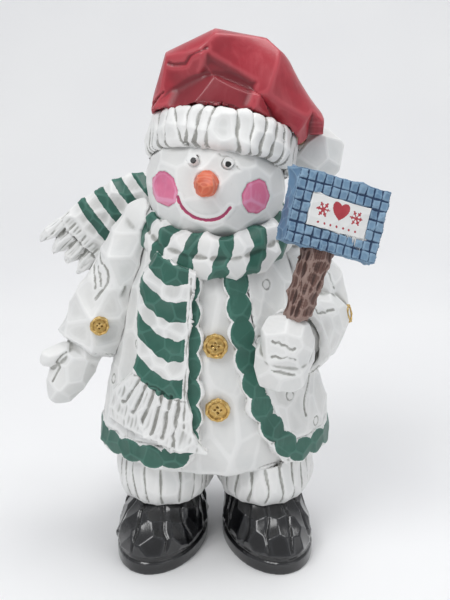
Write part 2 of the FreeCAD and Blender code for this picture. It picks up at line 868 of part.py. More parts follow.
def wrap_body():
    """The scarf's wrap: a ring whose outside is two rolls, one above the other."""
    sketch = doc.addObject("Sketcher::SketchObject", "wrap_profile")
    sketch.Placement = Placement(Vector(), Rotation(Vector(1, 0, 0), 90))
    inner = cell("wrap_inner_radius")
    rolls = []
    for level, side in (("lower", -1), ("upper", 1)):
        rise = cell("wrap_lower_drop") if side < 0 else cell("wrap_upper_rise")
        rolls.append((cell(f"wrap_{level}_radius"), side * rise, cell(f"wrap_{level}_half_thickness")))
    (x0, z0, r0), (x1, z1, r1) = rolls
    # where the two rolls meet on the outside
    gap = math.hypot(x1 - x0, z1 - z0)
    along = (r0 * r0 - r1 * r1 + gap * gap) / (2 * gap)
    out = math.sqrt(r0 * r0 - along * along)
    ux, uz = (x1 - x0) / gap, (z1 - z0) / gap
    meet = (x0 + along * ux + out * uz, z0 + along * uz - out * ux)
    foot = (inner, z0 - math.sqrt(r0 * r0 - (inner - x0) ** 2))
    top = (inner, z1 + math.sqrt(r1 * r1 - (inner - x1) ** 2))
    for (x, z, radius), start, end in ((rolls[0], foot, meet), (rolls[1], meet, top)):
        circle = Part.Circle(Vector(x, z, 0), Vector(0, 0, 1), radius)
        begin = math.atan2(start[1] - z, start[0] - x)
        sketch.addGeometry(Part.ArcOfCircle(circle, begin, math.atan2(end[1] - z, end[0] - x)), False)
    sketch.addGeometry(Part.LineSegment(Vector(*top, 0), Vector(*foot, 0)), False)
    for first, second in ((0, 1), (1, 2), (2, 0)):
        sketch.addConstraint(Sketcher.Constraint("Coincident", first, 2, second, 1))
    names = (("lower", "-Sizes.wrap_lower_drop"), ("upper", "Sizes.wrap_upper_rise"))
    for arc, ((level, rise), (x, z, radius)) in enumerate(zip(names, rolls)):
        for kind, value, expression in (
            ("DistanceX", x, f"Sizes.wrap_{level}_radius"),
            ("DistanceY", z, rise),
        ):
            index = sketch.addConstraint(Sketcher.Constraint(kind, -1, 1, arc, 3, value))
            sketch.setExpression(f"Constraints[{index}]", expression)
        index = sketch.addConstraint(Sketcher.Constraint("Radius", arc, radius))
        sketch.setExpression(f"Constraints[{index}]", f"Sizes.wrap_{level}_half_thickness")
    hold_corner(sketch, 2, x="Sizes.wrap_inner_radius")
    sketch.addConstraint(Sketcher.Constraint("Vertical", 2))
    ring = doc.addObject("Part::Revolution", "wrap_ring")
    ring.Source = sketch
    ring.Axis = Vector(0, 0, 1)
    ring.Angle = 360
    ring.Solid = True
    turn = Rotation(Vector(1, 0, 0), cell("wrap_tilt"))
    seam_away = Rotation(Vector(0, 0, 1), cell("wrap_seam_turn"))
    return put(ring, "Sizes.wrap_x", "Sizes.wrap_y", "Sizes.wrap_z", turn * seam_away)


def scarf(pins, blank, tunic, coat_block, band):
    """A wrap round the neck, a tail down the right front and a tail out behind the right arm."""
    ring = wrap_body()
    seats = (coat_block, tunic, blank, band, pins["scarf_tail_dowel"])
    wrap = cut("wrap_seated", ring, *seats, refine=False)
    subpart(wrap, "scarf_wrap")

    cover = loft("tail_cover_loft", "tail_cover", level=True)
    drop = common("front_tail_drop", cover, front_prism("front_tail_prism", corners_of("tail")))
    front_tail = cut("front_tail_seated", drop, coat_block, ring, blank)
    subpart(front_tail, "scarf_front_tail")

    strip = loft("back_tail_loft", "back_tail", wide=Vector(0, 0, 1))
    last, before = STATIONS["back_tail"][-1], STATIONS["back_tail"][-2]
    outward = Vector(*(last[i] - before[i] for i in range(3))).normalize()
    across = Vector(0, -1, 0).cross(outward).normalize()
    count = int(cell("strand_count"))
    strands = []
    for k in range(count):
        share = (k / (count - 1) - 0.5) * 2
        root = Vector(*last[:3]) + across * share * (last[3] - 4.0) - outward * 4
        spread = (outward + across * share * 0.28 + Vector(0, 0, -0.12)).normalize()
        strand = ball(
            f"back_strand_{k}",
            "Sizes.strand_radius",
            "Sizes.strand_radius",
            "Sizes.strand_length / 2",
            f"{root.x:.3f} + {spread.x:.4f} * Sizes.strand_length / 2",
            f"{root.y:.3f} + {spread.y:.4f} * Sizes.strand_length / 2",
            f"{root.z:.3f} + {spread.z:.4f} * Sizes.strand_length / 2",
            Rotation(Vector(0, 0, 1), spread),
        )
        strands.append(strand)
    whole = fuse("back_tail_whole", strip, *strands)
    return cut("back_tail_seated", whole, ring, blank, coat_block, band, pins["scarf_tail_dowel"])


# ---------------------------------------------------------------------------------------------
# Arms
# ---------------------------------------------------------------------------------------------


def mouth_of(name, table, depth, wall, across=Vector(1, 0, 0)):
    """The hollow in a sleeve's end that the mitten is glued into."""
    x, y, z, wide, deep = STATIONS[table][-1]
    before = STATIONS[table][-2]
    inward = Vector(before[0] - x, before[1] - y, before[2] - z).normalize()
    obj = doc.addObject("Part::Ellipsoid", name)
    obj.Radius1, obj.Radius2, obj.Radius3 = depth, wide - wall, deep - wall
    obj.Angle1, obj.Angle2, obj.Angle3 = -90, 90, 360
    return put(obj, x, y, z, Rotation(across, Vector(), inward, "ZXY"))


def arms(pins, coat_block, ring_source, post):
    """Two carved sleeves, glued to the coat, with a mitten let into each cuff."""
    right = loft("sleeve_right_loft", "sleeve_right")
    right_top = STATIONS["sleeve_right"][0]
    right_ball = ball(
        "shoulder_right_ball",
        "Sizes.sleeve_right_wide_1",
        "Sizes.sleeve_right_wide_1",
        "Sizes.sleeve_right_wide_1",
        *map(str, right_top[:3]),
    )
    right_mouth = mouth_of("cuff_right_mouth", "sleeve_right", cell("cuff_depth"), cell("cuff_wall"))
    right_sleeve = cut(
        "sleeve_right_seated",
        fuse("sleeve_right_blank", right, right_ball),
        coat_block,
        ring_source,
        right_mouth,
        pins["shoulder_dowel_right"],
        pins["wrist_dowel_right"],
    )
    subpart(right_sleeve, "sleeve_right")

    palm = ball(
        "palm_right",
        "Sizes.palm_half_width",
        "Sizes.palm_half_depth",
        "Sizes.palm_half_length",
        "-83",
        "-13",
        "106",
        Rotation(Vector(0, 0, 1), Vector(-17, -4, -27)),
    )
    thumb = ball(
        "thumb_right",
        "Sizes.thumb_half_width",
        "Sizes.thumb_half_width",
        "Sizes.thumb_half_length",
        "-91",
        "-17",
        "117",
        Rotation(Vector(0, 0, 1), Vector(-16, -5, -8)),
    )
    wrist = rod("wrist_right", "11", "24", "-76", "-10", "117", (-12, -4, -27))
    mitten = cut(
        "mitten_right_seated",
        fuse("mitten_right_blank", palm, thumb, common("wrist_right_in_cuff", wrist, right_mouth)),
        right_sleeve,
        pins["wrist_dowel_right"],
    )
    subpart(mitten, "mitten_right")

    upper = loft("upper_arm_left_loft", "upper_arm_left")
    fore = loft("forearm_left_loft", "forearm_left", wide=Vector(0, 0, 1))
    left_top = STATIONS["upper_arm_left"][0]
    left_ball = ball(
        "shoulder_left_ball",
        "Sizes.upper_arm_left_wide_1",
        "Sizes.upper_arm_left_wide_1",
        "Sizes.upper_arm_left_wide_1",
        *map(str, left_top[:3]),
    )
    left_mouth = mouth_of(
        "cuff_left_mouth",
        "forearm_left",
        cell("cuff_depth"),
        cell("cuff_wall"),
        Vector(0, 0, 1),
    )
    left_sleeve = cut(
        "sleeve_left_seated",
        fuse("sleeve_left_blank", upper, fore, left_ball),
        coat_block,
        ring_source,
        left_mouth,
        pins["shoulder_dowel_left"],
        pins["wrist_dowel_left"],
    )
    subpart(left_sleeve, "sleeve_left")
    fist = loft("fist_loft", "fist", wide=Vector(-1, 0, 0))
    fist_thumb = ball(
        "fist_thumb",
        "Sizes.thumb_half_width",
        "Sizes.thumb_half_width",
        "Sizes.fist_thumb_half_length",
        "39",
        "-67",
        "146",
        Rotation(Vector(0, 0, 1), Vector(1, 0.1, -0.12)),
    )
    wrist_bar = rod("wrist_left", "11", "30", "45", "-44", "134", (-8, -15.5, -1))
    hand = fuse("mitten_left_blank", fist, fist_thumb, common("wrist_left_in_cuff", wrist_bar, left_mouth))
    hand = cut("mitten_left_seated", hand, coat_block, post, pins["wrist_dowel_left"])
    subpart(hand, "mitten_left")
    return right_sleeve, left_sleeve


# ---------------------------------------------------------------------------------------------
# Sign
# ---------------------------------------------------------------------------------------------


def board_turn():
    turn = Rotation(Vector(0, 0, 1), cell("board_turn"))
    lean = Rotation(Vector(1, 0, 0), -cell("board_lean_back"))
    tilt = Rotation(Vector(0, 1, 0), cell("board_tilt"))
    return turn.multiply(lean).multiply(tilt)


def rectangle(sketch, width, height):
    """A rectangle centred on the sketch's origin, with its size bound to expressions."""
    corners = [(-20, -10), (20, -10), (20, 10), (-20, 10)]
    polygon(sketch, corners)
    for edge, kind in ((0, "Horizontal"), (1, "Vertical"), (2, "Horizontal"), (3, "Vertical")):
        sketch.addConstraint(Sketcher.Constraint(kind, edge))
    sketch.addConstraint(Sketcher.Constraint("Symmetric", 0, 1, 2, 1, -1, 1))
    wide = sketch.addConstraint(Sketcher.Constraint("Distance", 0, 40.0))
    high = sketch.addConstraint(Sketcher.Constraint("Distance", 1, 20.0))
    sketch.setExpression(f"Constraints[{wide}]", width)
    sketch.setExpression(f"Constraints[{high}]", height)
    return sketch


def pocket(body, name, sketch, depth, reverse=False):
    feature = body.newObject("PartDesign::Pocket", name)
    feature.Profile = sketch
    feature.setExpression("Length", depth)
    feature.Reversed = reverse
    return feature


def sign():
    """The board with its grid of carved tiles, the plaque let into it, and the post that holds it."""
    thickness = "Sizes.board_thickness"
    width, height = "Sizes.board_width", "Sizes.board_height"
    body = doc.addObject("PartDesign::Body", "board_body")
    outline = rectangle(sketch_in(body, "board_outline", "XZ_Plane"), width, height)
    padded(body, "board_block", outline, thickness)
    # the plaque's seat: the tiles inside the frame of two, let in to its own thickness
    seat_width = f"{width} * (1 - 2 * Sizes.tile_frame / Sizes.tile_columns)"
    seat_height = f"{height} * (1 - 2 * Sizes.tile_frame / Sizes.tile_rows)"
    seat = rectangle(sketch_in(body, "plaque_seat_outline", "XZ_Plane"), seat_width, seat_height)
    seat.setExpression("AttachmentOffset.Base.z", thickness)
    pocket(body, "plaque_seat", seat, "Sizes.plaque_thickness")
    # grooves between the tiles
    for axis, count, span, long_way in (
        ("x", "tile_columns", width, height),
        ("y", "tile_rows", height, width),
    ):
        size = ("Sizes.tile_groove", f"{long_way} + 2")
        if axis != "x":
            size = size[::-1]
        line = rectangle(sketch_in(body, f"groove_{axis}_outline", "XZ_Plane"), *size)
        line.setExpression("AttachmentOffset.Base.z", thickness)
        line.setExpression(f"AttachmentOffset.Base.{axis}", f"-{span} / 2 + {span} / Sizes.{count}")
        first = pocket(body, f"groove_{axis}", line, "Sizes.tile_groove_depth")
        doc.recompute()
        row = body.newObject("PartDesign::LinearPattern", f"grooves_{axis}")
        row.Originals = [first]
        row.Direction = (line, ["H_Axis" if axis == "x" else "V_Axis"])
        row.setExpression("Length", f"{span} - 2 * {span} / Sizes.{count}")
        row.Occurrences = int(cell(count)) - 1
        body.Tip = row
    turn = board_turn()
    # a board is drawn with its back on the plane, so it is moved half its thickness back
    half = turn.multVec(Vector(0, 1, 0))
    centre = ("Sizes.board_x", "Sizes.board_y", "Sizes.board_z")
    put(body, *(f"{c} + ({part:.5f}) * {thickness} / 2" for c, part in zip(centre, half)), turn)

    plaque = doc.addObject("PartDesign::Body", "plaque_body")
    face_line = rectangle(sketch_in(plaque, "plaque_outline", "XZ_Plane"), seat_width, seat_height)
    face_line.setExpression("AttachmentOffset.Base.z", f"{thickness} - Sizes.plaque_thickness")
    padded(plaque, "plaque_sheet", face_line, "Sizes.plaque_thickness")
    put(plaque, *(f"{c} + ({part:.5f}) * {thickness} / 2" for c, part in zip(centre, half)), turn)

    post = loft("post_loft", "post")
    subpart(cut("board_bored", body, post), "sign_board")
    subpart(plaque, "sign_plaque")
    subpart(post, "sign_post")
    return post


# ---------------------------------------------------------------------------------------------
# Buttons
# ---------------------------------------------------------------------------------------------


def button(name, scale="1"):
    """A dished brass button with four thread holes and a shank."""
    body = doc.addObject("PartDesign::Body", f"{name}_body")
    profile = sketch_in(body, "profile", "XZ_Plane")
    k = cell("sleeve_button_scale") if scale != "1" else 1.0
    r, t = cell("button_radius") * k, cell("button_thickness") * k
    dish, depth = cell("button_dish_radius") * k, cell("button_dish_depth") * k
    shank, long = cell("button_shank_radius") * k, cell("button_shank_length") * k
    points = [
        (0, -long),
        (shank, -long),
        (shank, 0),
        (r - 0.6 * k, 0),
        (r, 0.9 * k),
        (r - 0.5 * k, t),
        (dish + 0.4 * k, t),
        (dish, t - depth),
        (0, t - depth),
    ]
    polygon(profile, points)
    hold_corner(profile, 4, x=f"Sizes.button_radius * {scale}")
    hold_corner(profile, 7, x=f"Sizes.button_dish_radius * {scale}")
    revolved(body, "turned", profile)
    doc.recompute()
    holes = sketch_in(body, "hole_circle", "XY_Plane")
    holes.setExpression("AttachmentOffset.Base.z", f"Sizes.button_thickness * {scale}")
    off_centre = Vector(cell("button_hole_circle") * k, 0, 0)
    circle = Part.Circle(off_centre, Vector(0, 0, 1), cell("button_hole_radius") * k)
    holes.addGeometry(circle, False)
    holes.addConstraint(Sketcher.Constraint("PointOnObject", 0, 3, -1))
    reach = holes.addConstraint(Sketcher.Constraint("DistanceX", -1, 1, 0, 3, off_centre.x))
    holes.setExpression(f"Constraints[{reach}]", f"Sizes.button_hole_circle * {scale}")
    size = holes.addConstraint(Sketcher.Constraint("Radius", 0, cell("button_hole_radius") * k))
    holes.setExpression(f"Constraints[{size}]", f"Sizes.button_hole_radius * {scale}")
    first = pocket(body, "hole", holes, f"Sizes.button_thickness * {scale} * 0.8")
    doc.recompute()
    ring = body.newObject("PartDesign::PolarPattern", "holes")
    ring.Originals = [first]
    ring.Axis = (holes, ["N_Axis"])
    ring.Angle = 360
    ring.Occurrences = 4
    body.Tip = ring
    return body


def buttons():
    """Two buttons down the tunic and one on each sleeve's cuff."""
    sleeve_scale = "Sizes.sleeve_button_scale"
    places = {
        "front_button_upper": ("1", "Sizes.button_upper_x", "-49.4", "Sizes.button_upper_z", (0, -1, 0.14)),
        "front_button_lower": ("1", "Sizes.button_lower_x", "-54.4", "Sizes.button_lower_z", (0, -1, 0.0)),
        "sleeve_button_right": (sleeve_scale, "-64.8", "-24.3", "137", (0.1, -1, 0.18)),
        "sleeve_button_left": (sleeve_scale, "76.5", "-9.5", "139", (1, -0.28, 0.22)),
    }
    made = {}
    for label, (scale, x, y, z, outward) in places.items():
        made[label] = put(button(label, scale), x, y, z, Rotation(Vector(0, 0, 1), Vector(*outward)))
    return made


# ---------------------------------------------------------------------------------------------
# The whole figure
# ---------------------------------------------------------------------------------------------


def build():
    pins = dowels()
    blank, carrot, eyes = face(pins)
    studs = buttons()
    tunic_block = loft("tunic_loft", "tunic", level=True)
    tunic = cut(
        "tunic_seated",
        tunic_block,
        blank,
        pins["neck_dowel"],
        pins["leg_dowel_left"],
        pins["leg_dowel_right"],
        pins["shoulder_dowel_left"],
        pins["shoulder_dowel_right"],
        studs["front_button_upper"],
        studs["front_button_lower"],
    )
    subpart(tunic, "tunic")
    legs_and_boots(pins, tunic_block)
    coat_block = coat(pins, tunic_block, blank)
    band = hat(pins, blank)
    held = (pins["neck_dowel"], pins["hat_dowel"])
    head = cut("head_seated", blank, carrot, eyes["left"], eyes["right"], *held)
    subpart(head, "head")
    subpart(carrot, "nose")
    for side, eye in eyes.items():
        subpart(eye, f"eye_{side}")
    back_tail = scarf(pins, blank, tunic_block, coat_block, band)
    post = sign()
    ring = doc.getObject("wrap_ring")
    right_sleeve, left_sleeve = arms(pins, coat_block, ring, post)
    subpart(cut("back_tail_clear", back_tail, right_sleeve), "scarf_back_tail")
    for label, stud in studs.items():
        subpart(stud, label)


build()
doc.recompute()


def check(obj):
    """Stops on a failed object or a bad shape, before anything is written."""
    shape = obj.Shape
    if shape.isNull() or not shape.isValid() or len(shape.Solids) != 1:
        raise ValueError(f"{obj.Label}: the shape is null, not valid or not one solid")
    return shape


failed = [o.Label for o in doc.Objects if {"Invalid", "Error"} & set(o.State)]
if failed:
    raise ValueError(f"failed objects: {failed}")

os.makedirs("parts", exist_ok=True)
for item in SUBPARTS:
    check(item).exportStep(f"parts/{item.Label}.step")
print(len(SUBPARTS), "sub-parts written")
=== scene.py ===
import math

import bpy
import numpy as np
from mathutils import Matrix, Vector


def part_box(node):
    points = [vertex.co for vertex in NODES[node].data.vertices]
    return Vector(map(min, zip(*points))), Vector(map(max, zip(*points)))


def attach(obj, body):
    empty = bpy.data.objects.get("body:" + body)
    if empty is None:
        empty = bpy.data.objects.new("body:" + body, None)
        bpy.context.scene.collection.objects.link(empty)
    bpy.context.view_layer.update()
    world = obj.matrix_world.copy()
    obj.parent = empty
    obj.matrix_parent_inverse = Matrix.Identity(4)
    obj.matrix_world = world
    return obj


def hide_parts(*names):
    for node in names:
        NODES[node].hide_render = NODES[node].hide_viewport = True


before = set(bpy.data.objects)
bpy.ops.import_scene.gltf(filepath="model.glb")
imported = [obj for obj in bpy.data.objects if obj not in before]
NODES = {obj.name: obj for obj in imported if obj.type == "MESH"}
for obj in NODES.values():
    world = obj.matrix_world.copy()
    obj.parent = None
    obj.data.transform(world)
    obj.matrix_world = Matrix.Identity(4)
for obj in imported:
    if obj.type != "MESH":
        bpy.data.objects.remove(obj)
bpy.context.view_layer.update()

# ------------------------------------------------------------------------------------------
# Figure coordinates: millimetres from the figure's own upright axis, front towards -Y
# ------------------------------------------------------------------------------------------

tunic_low, tunic_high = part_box("tunic")
TUNIC_CENTRE_Y = -5.0
AXIS = np.array([
    (tunic_low[0] + tunic_high[0]) * 500.0,
    (tunic_low[1] + tunic_high[1]) * 500.0 - TUNIC_CENTRE_Y,
    0.0,
])


def figure_box(node):
    """A node's lowest and highest corners, in figure millimetres."""
    return np.array(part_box(node)) * 1000.0 - AXIS


def centre_of(node):
    return figure_box(node).mean(axis=0)


def on_box(node, shares):
    """x, z places from shares of a node's width and height."""
    low, high = figure_box(node)
    return [(low[0] + a * (high[0] - low[0]), low[2] + b * (high[2] - low[2])) for a, b in shares]


def to_row(points):
    return (np.asarray(points, dtype=float) + AXIS) / 1000.0


def unit(v):
    v = np.asarray(v, dtype=float)
    return v / np.maximum(np.linalg.norm(v, axis=-1, keepdims=True), 1e-9)


def smoothstep(x, low, high):
    t = np.clip((x - low) / (high - low), 0.0, 1.0)
    return t * t * (3.0 - 2.0 * t)


# ------------------------------------------------------------------------------------------
# A carved skin: the CAD solid as a fine mesh, which is then cut with gouge and knife
# ------------------------------------------------------------------------------------------


class Skin:
    """Vertices in figure millimetres, with their normals, neighbours and painted masks."""

    def __init__(self, name, nodes, voxel=0.9, relax=3, extra=None):
        self.name = name
        self.nodes = nodes
        rows, faces, base = [], [], 0
        for node in nodes:
            mesh = NODES[node].data
            co = np.empty(len(mesh.vertices) * 3)
            mesh.vertices.foreach_get("co", co)
            rows.append(co.reshape(-1, 3))
            faces += [[base + v for v in p.vertices] for p in mesh.polygons]
            base += len(mesh.vertices)
        if extra is not None:
            rows.append(to_row(extra[0]))
            faces += [[base + v for v in face] for face in extra[1]]
        source = bpy.data.meshes.new(name + "_source")
        source.from_pydata(np.vstack(rows).tolist(), [], faces)
        holder = bpy.data.objects.new(name + "_source", source)
        bpy.context.scene.collection.objects.link(holder)
        weld = holder.modifiers.new("weld", "WELD")
        weld.merge_threshold = 0.00002
        remesh = holder.modifiers.new("remesh", "REMESH")
        remesh.mode = "VOXEL"
        remesh.voxel_size = voxel / 1000.0
        graph = bpy.context.evaluated_depsgraph_get()
        self.mesh = bpy.data.meshes.new_from_object(holder.evaluated_get(graph))
        bpy.data.objects.remove(holder)
        bpy.data.meshes.remove(source)
        self.mesh.name = name
        co = np.empty(len(self.mesh.vertices) * 3)
        self.mesh.vertices.foreach_get("co", co)
        self.P = co.reshape(-1, 3) * 1000.0 - AXIS
        edges = np.empty(len(self.mesh.edges) * 2, dtype=np.int64)
        self.mesh.edges.foreach_get("vertices", edges)
        self.E = edges.reshape(-1, 2)
        self.count = np.bincount(self.E.ravel(), minlength=len(self.P)).astype(float)
        self.count = np.maximum(self.count, 1.0)
        self.masks = {}
        self.relax(relax)

    def spread(self, values):
        """The mean of each vertex's neighbours."""
        a, b = self.E[:, 0], self.E[:, 1]
        n = len(self.P)
        if values.ndim == 1:
            total = np.bincount(a, values[b], n) + np.bincount(b, values[a], n)
            return total / self.count
        return np.stack([self.spread(values[:, i]) for i in range(values.shape[1])], axis=1)

    def relax(self, times, share=0.5):
        for _ in range(times):
            self.P += share * (self.spread(self.P) - self.P)
        self.renew()

    def renew(self):
        self.mesh.vertices.foreach_set("co", to_row(self.P).ravel())
        self.mesh.update()
        normals = np.empty(len(self.P) * 3)
        self.mesh.vertex_normals.foreach_get("vector", normals)
        self.N = normals.reshape(-1, 3)

    def push(self, height):
        """Moves the surface along its normals, in millimetres; a cut is negative."""
        self.P += self.N * height[:, None]
        self.renew()

    def carve(self, cell, radius, tilt, depth, seed, stretch=None, ratio=2.0, where=None, keep=0.0):
        """Overlapping flat cuts: the lower envelope of shallow bowls at scattered seeds.

        stretch gives each point the direction in which the cuts are ratio times longer.
        """
        rng = np.random.default_rng(seed)
        order = rng.permutation(len(self.P))
        chosen = []
        grid = {}
        for i in order:
            p = self.P[i]
            key = tuple((p // cell).astype(int))
            near = [
                j
                for dx in (-1, 0, 1)
                for dy in (-1, 0, 1)
                for dz in (-1, 0, 1)
                for j in grid.get((key[0] + dx, key[1] + dy, key[2] + dz), ())
            ]
            if near:
                gap = np.linalg.norm(self.P[near] - p, axis=1)
                same = (self.N[near] @ self.N[i]) > 0.0
                if np.any((gap < cell) & same):
                    continue
            chosen.append(i)
            grid.setdefault(key, []).append(i)
        seeds = np.array(chosen)
        origin, facing = self.P[seeds], self.N[seeds]
        lean = rng.normal(0.0, tilt, (len(seeds), 3))
        lean -= facing * np.sum(lean * facing, axis=1, keepdims=True)
        drop = rng.uniform(0.0, depth, len(seeds))
        long_way = None if stretch is None else unit(stretch(origin))
        height = np.full(len(self.P), np.inf)
        block = max(1, int(4e6 / max(len(seeds), 1)))
        for start in range(0, len(self.P), block):
            part = slice(start, start + block)
            gap = self.P[part][:, None, :] - origin[None, :, :]
            square = np.sum(gap * gap, axis=2)
            if long_way is not None:
                along = np.einsum("ijk,jk->ij", gap, long_way)
                square = square - along * along * (1.0 - 1.0 / ratio**2)
            bowl = square / (2.0 * radius) + np.einsum("ijk,jk->ij", gap, lean) - drop[None, :]
            bowl[(self.N[part] @ facing.T) < 0.1] = np.inf
            height[part] = bowl.min(axis=1)
        height[~np.isfinite(height)] = 0.0
        height -= np.median(height) + keep
        if where is not None:
            height *= where
        self.push(height)
        return height

    def groove(self, points, width, depth, closed=False, lip=0.0):
        """A V cut along a row of points. Returns the distance from it."""
        distance = self.distance(points, closed)
        height = -depth * np.clip(1.0 - distance / width, 0.0, 1.0)
        if lip:
            height += lip * np.exp(-((distance - 1.6 * width) / (0.7 * width)) ** 2)
        self.push(height)
        return distance

    def distance(self, points, closed=False):
        points = np.asarray(points, dtype=float)
        ends = np.roll(points, -1, axis=0) if closed else points[1:]
        starts = points if closed else points[:-1]
        best = np.full(len(self.P), np.inf)
        for a, b in zip(starts, ends):
            along = b - a
            t = np.clip(((self.P - a) @ along) / max(along @ along, 1e-9), 0.0, 1.0)
            best = np.minimum(best, np.linalg.norm(self.P - a - t[:, None] * along, axis=1))
        return best

    def drape(self, outline, side=-1.0):
        """Finds x, z points on the front of the skin, or on its back with side = 1."""
        found = []
        for x, z in outline:
            off = np.hypot(self.P[:, 0] - x, self.P[:, 2] - z)
            near = np.flatnonzero(off < max(1.6, off.min() + 0.5))
            found.append(self.P[near[np.argmax(side * self.P[near, 1])]])
        return np.array(found)

    def ring_mark(self, place, radius=2.65, width=0.62, depth=0.55):
        """A small round plug: a circle cut round a point."""
        off = np.abs(np.linalg.norm(self.P - place, axis=1) - radius)
        self.push(-depth * np.clip(1.0 - off / width, 0.0, 1.0))

    def cavity(self, rounds=2, gain=1.0):
        """How hollow the surface is at each point, from 0 on ridges to 1 in cuts."""
        flat = self.P.copy()
        for _ in range(rounds):
            flat = 0.5 * flat + 0.5 * self.spread(flat)
        hollow = np.sum((flat - self.P) * self.N, axis=1)
        hollow = 0.5 * hollow + 0.5 * self.spread(hollow)
        return np.clip(0.5 + gain * hollow, 0.0, 1.0)

    def finish(self, material, masks=None, rounds=6, gain=5.0):
        self.masks["hollow"] = self.cavity(rounds, gain)
        # wide_hollow measures broad hollows; the white paint darkens them as painted shade
        self.masks["wide_hollow"] = self.cavity(rounds * 5, gain * 0.5)
        for key, values in (masks or {}).items():
            self.masks[key] = values
        for key, values in self.masks.items():
            layer = self.mesh.attributes.new(key, "FLOAT", "POINT")
            layer.data.foreach_set("value", np.asarray(values, dtype=np.float32))
        self.mesh.polygons.foreach_set("use_smooth", [True] * len(self.mesh.polygons))
        obj = bpy.data.objects.new(self.name, self.mesh)
        bpy.context.scene.collection.objects.link(obj)
        obj.data.materials.append(material)
        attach(obj, "root")
        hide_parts(*self.nodes)
        return obj


# ------------------------------------------------------------------------------------------
# Paints
# ------------------------------------------------------------------------------------------


class Paint:
    """A material under construction, with short names for the nodes that it uses."""

    def __init__(self, name):
        self.material = bpy.data.materials.new(name)
        self.material.use_nodes = True
        self.tree = self.material.node_tree
        self.tree.nodes.clear()
        self.out = self.tree.nodes.new("ShaderNodeOutputMaterial")
        self.shader = self.tree.nodes.new("ShaderNodeBsdfPrincipled")
        self.tree.links.new(self.shader.outputs[0], self.out.inputs[0])
        self.place = self.tree.nodes.new("ShaderNodeTexCoord").outputs["Object"]

    def node(self, kind, **settings):
        made = self.tree.nodes.new(kind)
        for key, value in settings.items():
            setattr(made, key, value)
        return made

    def feed(self, socket, value):
        if isinstance(value, bpy.types.NodeSocket):
            self.tree.links.new(value, socket)
        else:
            socket.default_value = value

    def attribute(self, name):
        return self.node("ShaderNodeAttribute", attribute_name=name).outputs["Fac"]

    def stretched(self, scale):
        mapping = self.node("ShaderNodeMapping")
        self.feed(mapping.inputs["Vector"], self.place)
        mapping.inputs["Scale"].default_value = scale
        return mapping.outputs[0]

    def noise(self, scale, detail=3.0, rough=0.55, stretch=None, distortion=0.0):
        made = self.node("ShaderNodeTexNoise")
        self.feed(made.inputs["Vector"], self.stretched(stretch) if stretch else self.place)
        made.inputs["Scale"].default_value = scale
        made.inputs["Detail"].default_value = detail
        made.inputs["Roughness"].default_value = rough
        made.inputs["Distortion"].default_value = distortion
        return made.outputs["Fac"]

    def math(self, operation, a, b=0.0, c=0.0, clamp=False):
        made = self.node("ShaderNodeMath", operation=operation, use_clamp=clamp)
        for socket, value in zip(made.inputs, (a, b, c)):
            self.feed(socket, value)
        return made.outputs[0]

    def ramp(self, value, low, high, to_low=0.0, to_high=1.0):
        made = self.node("ShaderNodeMapRange", clamp=True)
        for key, number in (
            ("Value", value),
            ("From Min", low),
            ("From Max", high),
            ("To Min", to_low),
            ("To Max", to_high),
        ):
            self.feed(made.inputs[key], number)
        return made.outputs[0]

    def mix(self, share, a, b, blend="MIX"):
        made = self.node("ShaderNodeMix", data_type="RGBA", blend_type=blend)
        self.feed(made.inputs["Factor"], share)
        for socket, value in ((made.inputs[6], a), (made.inputs[7], b)):
            self.feed(socket, value if isinstance(value, bpy.types.NodeSocket) else (*value, 1.0))
        return made.outputs[2]

    def bump(self, *layers):
        """Stacks (height, strength, distance in mm) layers and wires them to the shader."""
        normal = None
        for height, strength, reach in layers:
            made = self.node("ShaderNodeBump")
            made.inputs["Strength"].default_value = strength
            made.inputs["Distance"].default_value = reach / 1000.0
            self.feed(made.inputs["Height"], height)
            if normal is not None:
                self.feed(made.inputs["Normal"], normal)
            normal = made.outputs[0]
        self.feed(self.shader.inputs["Normal"], normal)

    def done(self, colour, roughness, specular=0.5, coat=0.0, metallic=0.0, coat_roughness=0.1):
        self.feed(self.shader.inputs["Base Color"], colour)
        self.feed(self.shader.inputs["Roughness"], roughness)
        self.shader.inputs["Specular IOR Level"].default_value = specular
        self.shader.inputs["Coat Weight"].default_value = coat
        self.shader.inputs["Coat Roughness"].default_value = coat_roughness
        self.shader.inputs["Metallic"].default_value = metallic
        return self.material


WHITE = (0.80, 0.80, 0.785)
WHITE_COOL = (0.68, 0.70, 0.70)
RIDGE_WHITE = (0.90, 0.90, 0.89)
# grey of the wash in the cuts, also used for the painted shade in broad hollows and for specks
WASH_AND_SHADE_GREY = (0.26, 0.26, 0.235)
GREEN = (0.030, 0.125, 0.092)
GREEN_LIGHT = (0.070, 0.205, 0.160)
GREEN_DEEP = (0.010, 0.050, 0.038)
RED = (0.40, 0.026, 0.042)
RED_LIGHT = (0.55, 0.085, 0.105)
RED_DEEP = (0.15, 0.007, 0.014)
PINK = (0.74, 0.19, 0.33)
PINK_LIGHT = (0.82, 0.42, 0.60)
PINK_DEEP = (0.38, 0.05, 0.14)
MOUTH_PINK = (0.55, 0.06, 0.15)
ORANGE = (0.70, 0.135, 0.060)
ORANGE_LIGHT = (0.80, 0.26, 0.145)
ORANGE_DEEP = (0.20, 0.028, 0.016)
BLACK = (0.0045, 0.0045, 0.0055)
BLACK_LIGHT = (0.022, 0.023, 0.026)
BLACK_DEEP = (0.0015, 0.0015, 0.002)
BLUE = (0.125, 0.235, 0.370)
BLUE_LIGHT = (0.265, 0.400, 0.530)
BLUE_DEEP = (0.016, 0.042, 0.105)
BARK = (0.135, 0.066, 0.052)
BARK_LIGHT = (0.40, 0.29, 0.25)
BARK_DEEP = (0.035, 0.016, 0.012)
BRASS = (0.62, 0.40, 0.13)
BRASS_LIGHT = (0.86, 0.66, 0.30)
BRASS_DEEP = (0.13, 0.066, 0.018)
BIRCH = (0.62, 0.46, 0.29)
BIRCH_LIGHT = (0.72, 0.57, 0.39)
